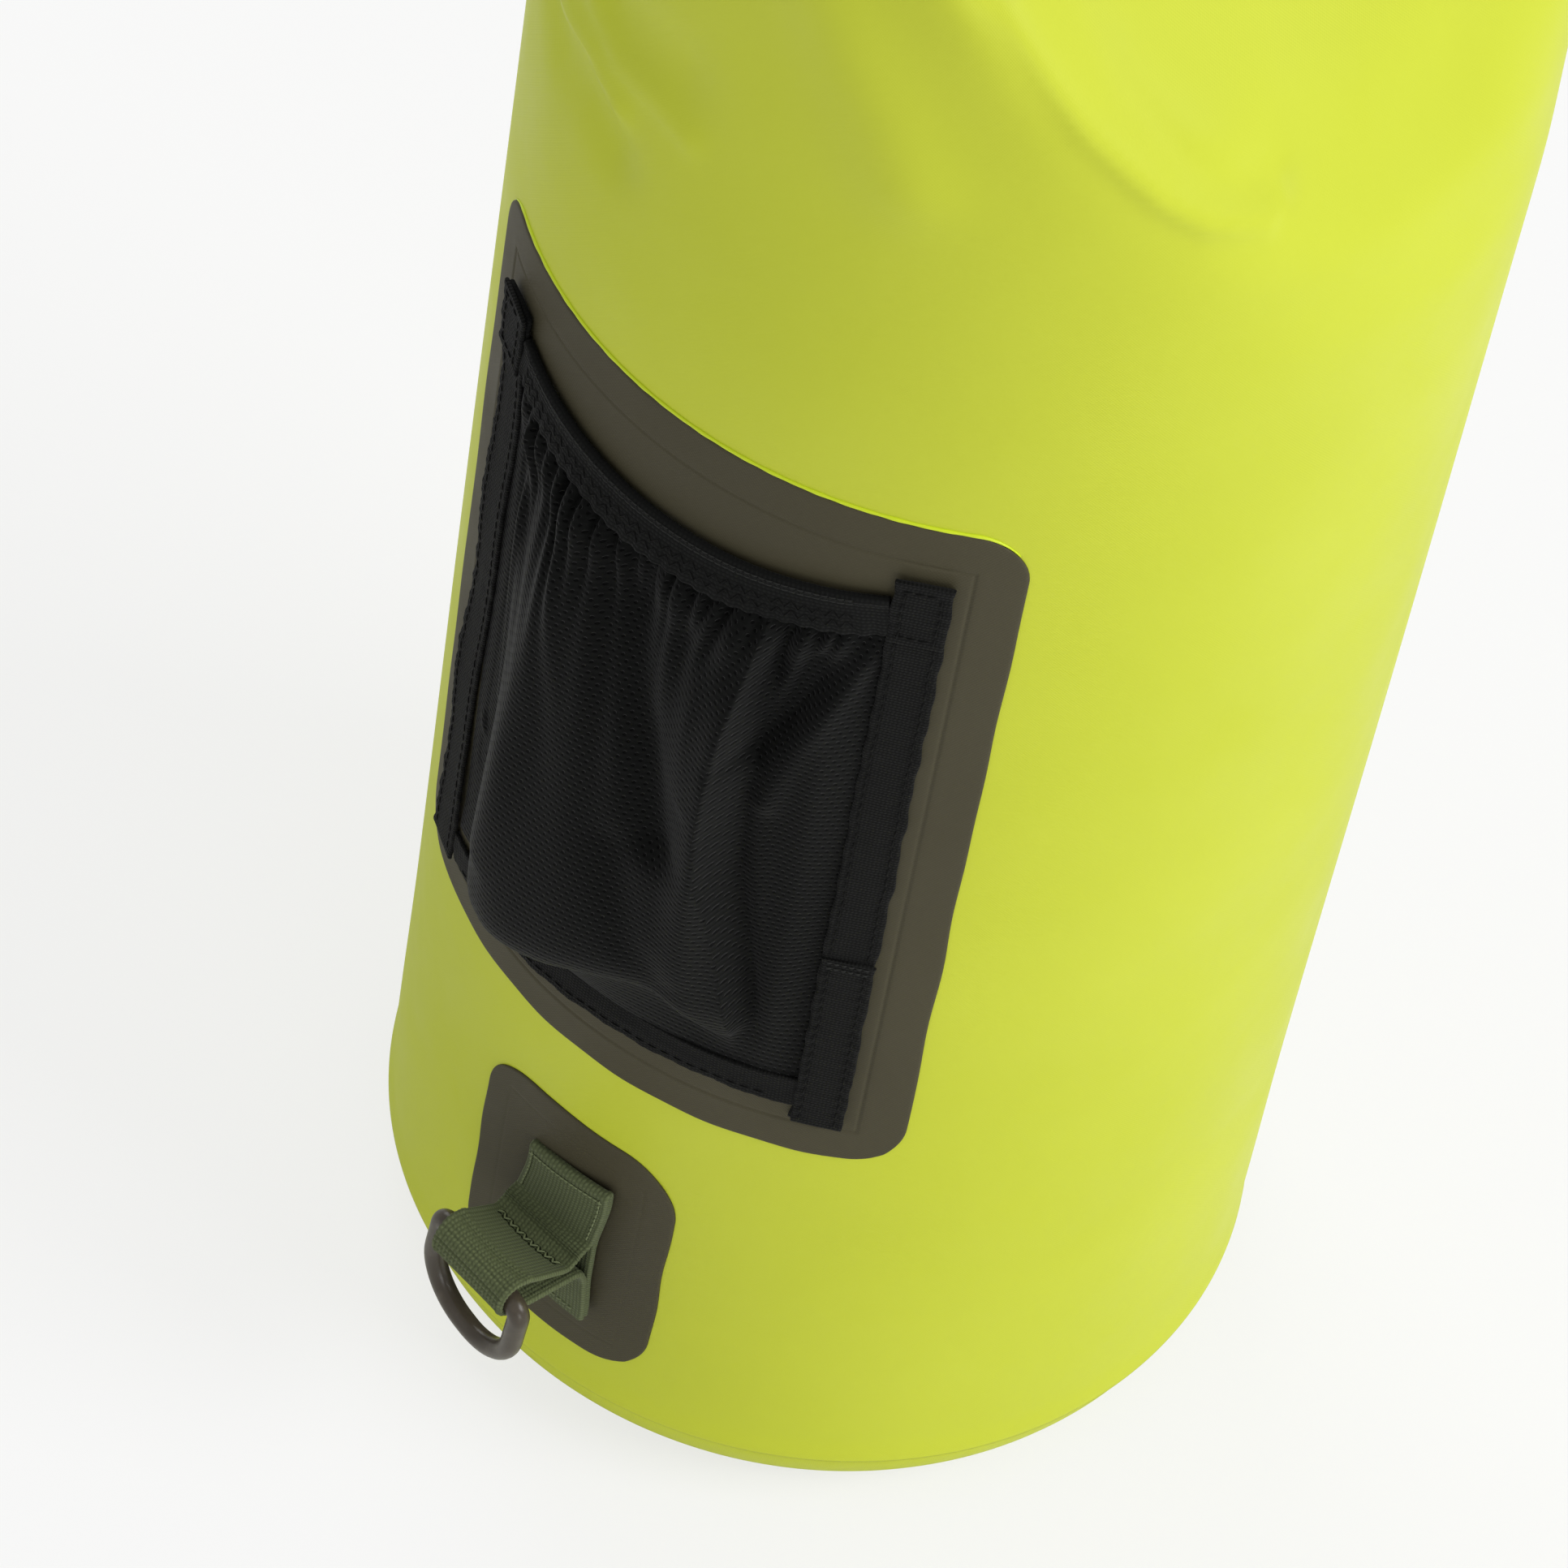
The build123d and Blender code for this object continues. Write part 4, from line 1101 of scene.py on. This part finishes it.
def d_ring(name, bar_at, bar_line, hang, body, replaced):
    """Wire round a D: a straight bar, small corners, then the two wide corners of the bow."""
    half, tall, small, wide_corner = 0.0156, 0.0280, 0.0032, 0.0148
    corners = np.array([bar_at, bar_at + bar_line * half, bar_at + bar_line * half + hang * tall,
                        bar_at - bar_line * half + hang * tall, bar_at - bar_line * half, bar_at])
    path = arcs_and_runs(corners, [small, wide_corner, wide_corner, small], 0.0005)[:-1]
    along = unit(np.roll(path, -1, 0) - np.roll(path, 1, 0))
    side = np.broadcast_to(np.cross(bar_line, hang), path.shape)
    piece = carried(name, path, side, unit(np.cross(along, side)), round_loop(RING_WIRE, 20),
                    ring_brown, body, None, True)
    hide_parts(replaced)
    return piece


down_line = np.array([0, 0, -1.0])
skew, roll_of_ring = np.radians([12.0, 6.0])
flat_bar = np.array([-np.sin(skew), -np.cos(skew), 0])
skewed_bar = flat_bar * np.cos(roll_of_ring) + down_line * np.sin(roll_of_ring)
skewed_hang = down_line * np.cos(roll_of_ring) - flat_bar * np.sin(roll_of_ring)
d_ring("ring_of_lower_tab", bar_at, skewed_bar, skewed_hang, "lower_ring", "lower_ring")

# %% [markdown]
# ## The rolled mouth
# The mouth is rolled three turns over a stiff strip, and then both ends are bent up. The
# roll is one spiral section carried along a bent line. The spiral is made of half circles
# about two centres, joined by straight runs, because the strip inside is flat.

# %% Roll
PLY = 0.0020
SPIRAL_START, SPIRAL_STEP, HALF_FLAT, DROP = 0.0026, 0.0023, 0.0060, 0.00115
ROLL_TURNS = 3


def spiral_line(spacing=0.0007):
    """Centre line of the rolled ply: right halves about (flat, 0) and left halves about
    (-flat, -drop), each with a radius half a step greater than the last."""
    out = []
    for k in range(ROLL_TURNS):
        right = SPIRAL_START + SPIRAL_STEP * k
        left = right + SPIRAL_STEP / 2
        turn = np.linspace(-np.pi / 2, np.pi / 2, int(np.pi * right / spacing) + 4)
        out.append(np.stack([HALF_FLAT + right * np.cos(turn), right * np.sin(turn)], -1))
        out.append(np.stack([-HALF_FLAT - left * np.cos(turn), -DROP + left * np.sin(turn)],
                            -1)[::-1])
    out.append(np.array([[HALF_FLAT, -DROP - left]]))
    line = np.concatenate(out)
    run = run_along(line)
    even = np.linspace(0, run[-1], int(run[-1] / spacing))
    return np.stack([np.interp(even, run, line[:, k]) for k in range(2)], -1)


def give(x, y, run, length):
    """The soft roll wavers along its length, and crumples a little inside its bends."""
    waver = 0.00045 * waves(x * 160 + 3 * run, y * 160, 61, 5, 0.5, 1.4) * np.ones_like(run)
    waver = waver + 0.0008 * waves(run * 26, 0 * x, 62, 4, 0.6, 1.5)
    bend_mid = ROLL_TIP + ROLL_BEND * np.pi / 4
    near = np.exp(-((np.minimum(run, length - run) - bend_mid) / 0.030) ** 2)
    inner = step(y, -0.002, 0.008)
    crumple = 0.0010 * np.sin(run / 0.0125 * 2 * np.pi + 0.8 * np.sin(run * 70)) * near * inner
    return x + waver, y + 0.6 * waver + crumple


line = spiral_line()
heading = unit(np.gradient(line, axis=0))
normal = np.stack([-heading[:, 1], heading[:, 0]], -1)
roll_path = arcs_and_runs(np.array([
    [-0.100, 0, ROLL_Z + ROLL_BEND + ROLL_TIP], [-0.100, 0, ROLL_Z], [0.100, 0, ROLL_Z],
    [0.100, 0, ROLL_Z + ROLL_BEND + ROLL_TIP]]), [ROLL_BEND, ROLL_BEND], 0.0022)
along = unit(np.gradient(roll_path, axis=0))
over = np.stack([-along[:, 2], 0 * along[:, 0], along[:, 0]], -1)
run = run_along(roll_path)
outer = line + normal * PLY / 2
inner = (line - normal * PLY / 2)[::-1]
outline = np.concatenate([outer, inner])
gx, gy = (np.broadcast_to(outline[None, :, k], (len(run), len(outline))) for k in (0, 1))
gx, gy = give(gx, gy, run[:, None], run[-1])
m = len(outline)
points = roll_path[:, None] + gx[..., None] * np.array([0, 1.0, 0]) + gy[..., None] * over[:, None]
faces = [list(f) for f in grid_faces(len(run), m, True)]
n = len(line)
caps = []
extra = []
for end, out_sign in ((0, -1), (len(run) - 1, 1)):
    ring_points = points[end]
    middle = (ring_points[:n] + ring_points[n:][::-1]) / 2 - out_sign * along[end] * 0.0006
    first = len(run) * m + len(extra) * n
    extra.append(middle)
    for k in range(n - 1):
        a, b = end * m + k, end * m + k + 1
        c, d = end * m + m - 1 - k, end * m + m - 2 - k
        caps += [[a, b, first + k + 1, first + k], [first + k, first + k + 1, d, c]]
    caps += [[end * m, first, end * m + m - 1],
             [end * m + n - 1, end * m + n, first + n - 1]]
all_points = np.concatenate([points.reshape(-1, 3), *extra])
outline_run = run_along(outline)
roll_uv = np.stack([np.broadcast_to(outline_run[None], gx.shape),
                    np.broadcast_to(run[:, None], gx.shape)], -1).reshape(-1, 2)
cap_uv = np.stack([np.tile(outline_run[:n], 2), np.repeat([0.0, run[-1]], n)], -1)
roll = mesh_piece("rolled_mouth", all_points, faces + caps, np.concatenate([roll_uv, cap_uv]), lime)
outwards(roll)
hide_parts("neck_roll")

# %% [markdown]
# ## Handle straps and buckle
# A strap is sewn into each end of the roll, turns in over the sack and goes round its half
# of the buckle. It comes back under itself and is sewn down. The right strap crosses two
# joints, so it is two pieces that meet in the middle of its turn.

# %% Handle straps
TIP_Z = ROLL_Z + ROLL_BEND + ROLL_TIP
STRAP_Z = TIP_Z + 0.030
across_strap = np.array([0, 1.0, 0])


def strap_path(side, bar_x):
    """Up out of the roll's end, in towards the buckle, round its bar and back underneath."""
    top, low = 0.0029, -0.0029
    reach = side * bar_x
    corners = np.array([[0.100, 0.6400], [0.100, STRAP_Z + 0.0008], [reach + 0.0180, STRAP_Z + 0.0008],
                        [reach + 0.0070, STRAP_Z + top], [reach - 0.0029, STRAP_Z + top],
                        [reach - 0.0029, STRAP_Z + low], [reach + 0.0070, STRAP_Z + low],
                        [reach + 0.0180, STRAP_Z - 0.0008], [reach + 0.0250, STRAP_Z - 0.0008]])
    flat = np.stack([side * corners[:, 0], 0 * corners[:, 0], corners[:, 1]], -1)
    return arcs_and_runs(flat, [0.0235, 0.012, 0.006, 0.0028, 0.0028, 0.006, 0.012], 0.0005)


left_path = strap_path(-1, -0.0310)
left_strap = webbing_piece("handle_strap_left", left_path, across_strap, None, 71,
                           ["handle_webbing_left"])
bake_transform(left_strap)
right_path = strap_path(1, 0.0283)
half_turn = int(np.argmin(np.abs(right_path[:, 0] + right_path[:, 2] - 0.100 - STRAP_Z + 0.0138)
                          + (right_path[:, 2] < 0.67)))
riser = webbing_piece("handle_strap_right_riser", right_path[:half_turn + 1], across_strap,
                      None, 73, [])
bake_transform(riser)
right_strap = webbing_piece("handle_strap_right", right_path[half_turn:], across_strap,
                            None, 73, ["handle_webbing_right"])
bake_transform(right_strap)


def box_rows(strap, inner_x, outer_x, face):
    """A box of stitching through both plies of a strap, with a row across each end."""
    first, last = sorted(run_near(strap, [x, 0, STRAP_Z + 0.0008]) for x in (inner_x, outer_x))
    return [*(cross_row(strap, at, face, 0.0110, 0.0024, 0.0019) for at in (first, last)),
            *(stitch_row(strap, x, face, first, last + 0.0010, 0.0024, 0.0019)
              for x in (-0.0105, 0.0105))]


FACE = WEB / 2 + 0.0002
sewn("handle_left_stitches", box_rows("handle_strap_left", -0.0500, -0.0550, FACE), 0.00048,
     green_thread, "handle")
right_thread = sewn("handle_right_stitches", box_rows("handle_strap_right", 0.0475, 0.0525, -FACE),
                    0.00048, green_thread, None)
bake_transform(right_thread)

# %% Buckle
buckle_nylon = moulded("buckle_brown_nylon", (0.030, 0.026, 0.021), (0.046, 0.041, 0.034), 0.42)
strip_plastic = moulded("stiffener_strip", (0.050, 0.050, 0.048), (0.070, 0.070, 0.066), 0.5)
for names, finish in ((("buckle_socket", "buckle_plug", "latch_arm_left", "latch_arm_right"),
                       buckle_nylon), (("stiffener",), strip_plastic)):
    for name in names:
        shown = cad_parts[name]
        shown.data.materials.clear()
        shown.data.materials.append(finish)

# %% [markdown]
# ## Upper tab and ring
# The outer side of the bent end over the pocket carries a second ring, on a folded webbing.

# %% Upper tab and ring
HORN_FACE = -(0.100 + ROLL_OUT)
upper_z = ROLL_Z + ROLL_BEND + ROLL_TIP / 2
drop = np.radians(50.0)
upper_out = np.array([-np.cos(drop), 0, -np.sin(drop)])
upper_over = np.array([-np.sin(drop), 0, np.cos(drop)])
upper_bar = np.array([-0.124185, 0, 0.621955])
lie_x = HORN_FACE - 0.0004 - WEB / 2
upper_path = arcs_and_runs(np.array([
    [lie_x, 0, upper_z + 0.0140], [lie_x, 0, upper_z + 0.0020],
    upper_bar + upper_over * EYE - upper_out * 0.004,
    upper_bar + upper_over * EYE + upper_out * EYE,
    upper_bar - upper_over * EYE + upper_out * EYE,
    upper_bar - upper_over * EYE - upper_out * 0.004,
    [lie_x - 0.0006, 0, upper_z - 0.0046], [lie_x, 0, upper_z - 0.0090],
    [lie_x, 0, upper_z - 0.0140]]),
    [0.003, 0.004, EYE * 0.97, EYE * 0.97, 0.004, 0.0016, 0.004])
webbing_piece("upper_ring_webbing", upper_path, [0, -1.0, 0], "bag", 37,
              ["upper_tab_base", "upper_tab_loop"])
upper_end = rails["upper_ring_webbing"][0][-1]
sewn("upper_tab_stitches", [
    *(cross_row("upper_ring_webbing", at, FACE, 0.0115, 0.0022, 0.0018)
      for at in (0.0022, 0.0092, upper_end - 0.0022)),
    *(stitch_row("upper_ring_webbing", x, FACE, 0.0022, 0.0100, 0.0022, 0.0018)
      for x in (-0.0112, 0.0112))], 0.00048, green_thread)
d_ring("ring_of_upper_tab", upper_bar, np.array([0, -1.0, 0]), down_line, "upper_ring",
       "upper_ring")

# %% [markdown]
# ## Back seam
# The tube is one sheet of cloth whose edges are welded together down the back. The lap
# follows the tube's own points and stands 0.55 mm off them, with a fine groove inside each
# edge.

# %% Back seam
seam_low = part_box("back_seam")[0]
seam_rows = np.where((heights > seam_low[2]) & (heights <= NECK_Z))[0]
half_lap = 0.00985
LAP_THICK = 0.0004
across = np.linspace(-half_lap, half_lap, 49)
share = across / (2 * np.pi * R / columns)
back_column = columns * 3 // 4
strip = np.stack([[np.interp(back_column + share, np.arange(columns), tube[row, :, k])
                   for k in range(3)] for row in seam_rows]).transpose(0, 2, 1)
from_side = half_lap - np.abs(across)
seam_off = (0.00055 * np.sqrt(np.clip(1 - (1 - np.minimum(from_side / 0.00086, 1)) ** 2, 0, 1))
            - 0.00022 * np.exp(-((from_side - 0.0027) / 0.00043) ** 2) + 0.00002)
row_out = np.gradient(strip, axis=1)
row_up = np.gradient(strip, axis=0)
facing = unit(np.cross(row_out, row_up))
facing = facing * np.sign((facing * strip * [1, 1, 0]).sum(-1))[..., None]
seam_points = strip + facing * seam_off[None, :, None]
seam_uv = np.stack([np.broadcast_to(across, seam_points.shape[:2]),
                    seam_points[..., 2]], -1)
seam = mesh_piece("back_lap_seam", seam_points, grid_faces(*seam_points.shape[:2]), seam_uv, lime)
thicken(seam, "lap thickness", LAP_THICK)
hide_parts("back_seam")

# %% [markdown]
# ## Light, floor and camera
# A plain pale floor and broad soft lamps. The floor glows where the camera sees it, so it
# comes out nearly white. The world is white to the camera, and half as bright as a light.

# %% Stage
floor_material = new_material("pale_floor", (0.86, 0.86, 0.86), 0.7, Specular_IOR_Level=0.1)
ray = node(floor_material, "ShaderNodeLightPath")
glow = floor_material.node_tree.nodes.new("ShaderNodeEmission")
glow.inputs["Strength"].default_value = 1.0
blend_in = floor_material.node_tree.nodes.new("ShaderNodeMixShader")
shader_out = floor_material.node_tree.nodes["Principled BSDF"].outputs[0]
floor_material.node_tree.links.new(shader_out, blend_in.inputs[1])
floor_material.node_tree.links.new(glow.outputs[0], blend_in.inputs[2])
floor_material.node_tree.links.new(
    times(floor_material, ray.outputs["Is Camera Ray"], 0.72), blend_in.inputs[0])
floor_material.node_tree.links.new(
    blend_in.outputs[0], floor_material.node_tree.nodes["Material Output"].inputs["Surface"])
half = 6.0
floor = mesh_piece("floor", np.array([[-half, -half, 0], [half, -half, 0], [half, half, 0],
                                      [-half, half, 0]]), [[0, 1, 2, 3]], None, floor_material, None)

world = bpy.data.worlds.new("studio")
bpy.context.scene.world = world
world.use_nodes = True
sky = world.node_tree
sky_ray = sky.nodes.new("ShaderNodeLightPath")
dim = sky.nodes.new("ShaderNodeMapRange")
sky.links.new(sky_ray.outputs["Is Camera Ray"], dim.inputs["Value"])
dim.inputs["To Min"].default_value = 0.50
dim.inputs["To Max"].default_value = 1.0
sky.links.new(dim.outputs["Result"], sky.nodes["Background"].inputs["Strength"])
sky.nodes["Background"].inputs["Color"].default_value = (1, 1, 1, 1)


def stand(right, above, back, place):
    """The matrix of a lamp or a camera: its three directions, then its place."""
    return Matrix([[right[k], above[k], back[k], place[k]] for k in range(3)] + [[0, 0, 0, 1]])


def lamp(name, place, target, size, watts):
    """A square area lamp that faces its target."""
    data = bpy.data.lights.new(name, "AREA")
    data.shape, data.size, data.energy = "SQUARE", size, watts
    made = bpy.data.objects.new(name, data)
    bpy.context.scene.collection.objects.link(made)
    back = np.array(place, float) - np.array(target, float)
    back /= np.linalg.norm(back)
    side = np.cross([0, 0, 1], back)
    side /= np.linalg.norm(side)
    made.matrix_world = stand(side, np.cross(back, side), back, place)


lamp("key", (0.7, -2.4, 2.2), (0, 0, 0.3), 1.6, 57)
lamp("fill", (-2.4, 1.2, 1.2), (0, 0, 0.25), 1.8, 3)
lamp("low", (-1.3, -2.1, 0.35), (0, 0, 0.1), 1.0, 9)
lamp("back", (1.4, 2.2, 1.8), (0, 0, 0.3), 1.6, 22)

# %% Camera
target = np.array([-0.04190, 0.00245, 0.18454])
azimuth, elevation, roll = np.radians([211.66, 50.28, 10.73])
back = np.array([np.cos(azimuth) * np.cos(elevation), np.sin(azimuth) * np.cos(elevation),
                 np.sin(elevation)])
distance = 1.60673
place = target + distance * back
right = np.cross(-back, [0, 0, 1])
right /= np.linalg.norm(right)
above = np.cross(right, -back)
right, above = (np.cos(roll) * right + np.sin(roll) * above,
                -np.sin(roll) * right + np.cos(roll) * above)
camera_data = bpy.data.cameras.new("camera")
camera_data.sensor_width, camera_data.lens = 36, 157.15
camera = bpy.data.objects.new("camera", camera_data)
camera.matrix_world = stand(right, above, back, place)
bpy.context.scene.collection.objects.link(camera)
bpy.context.scene.camera = camera
bpy.context.scene.view_settings.view_transform = "Standard"
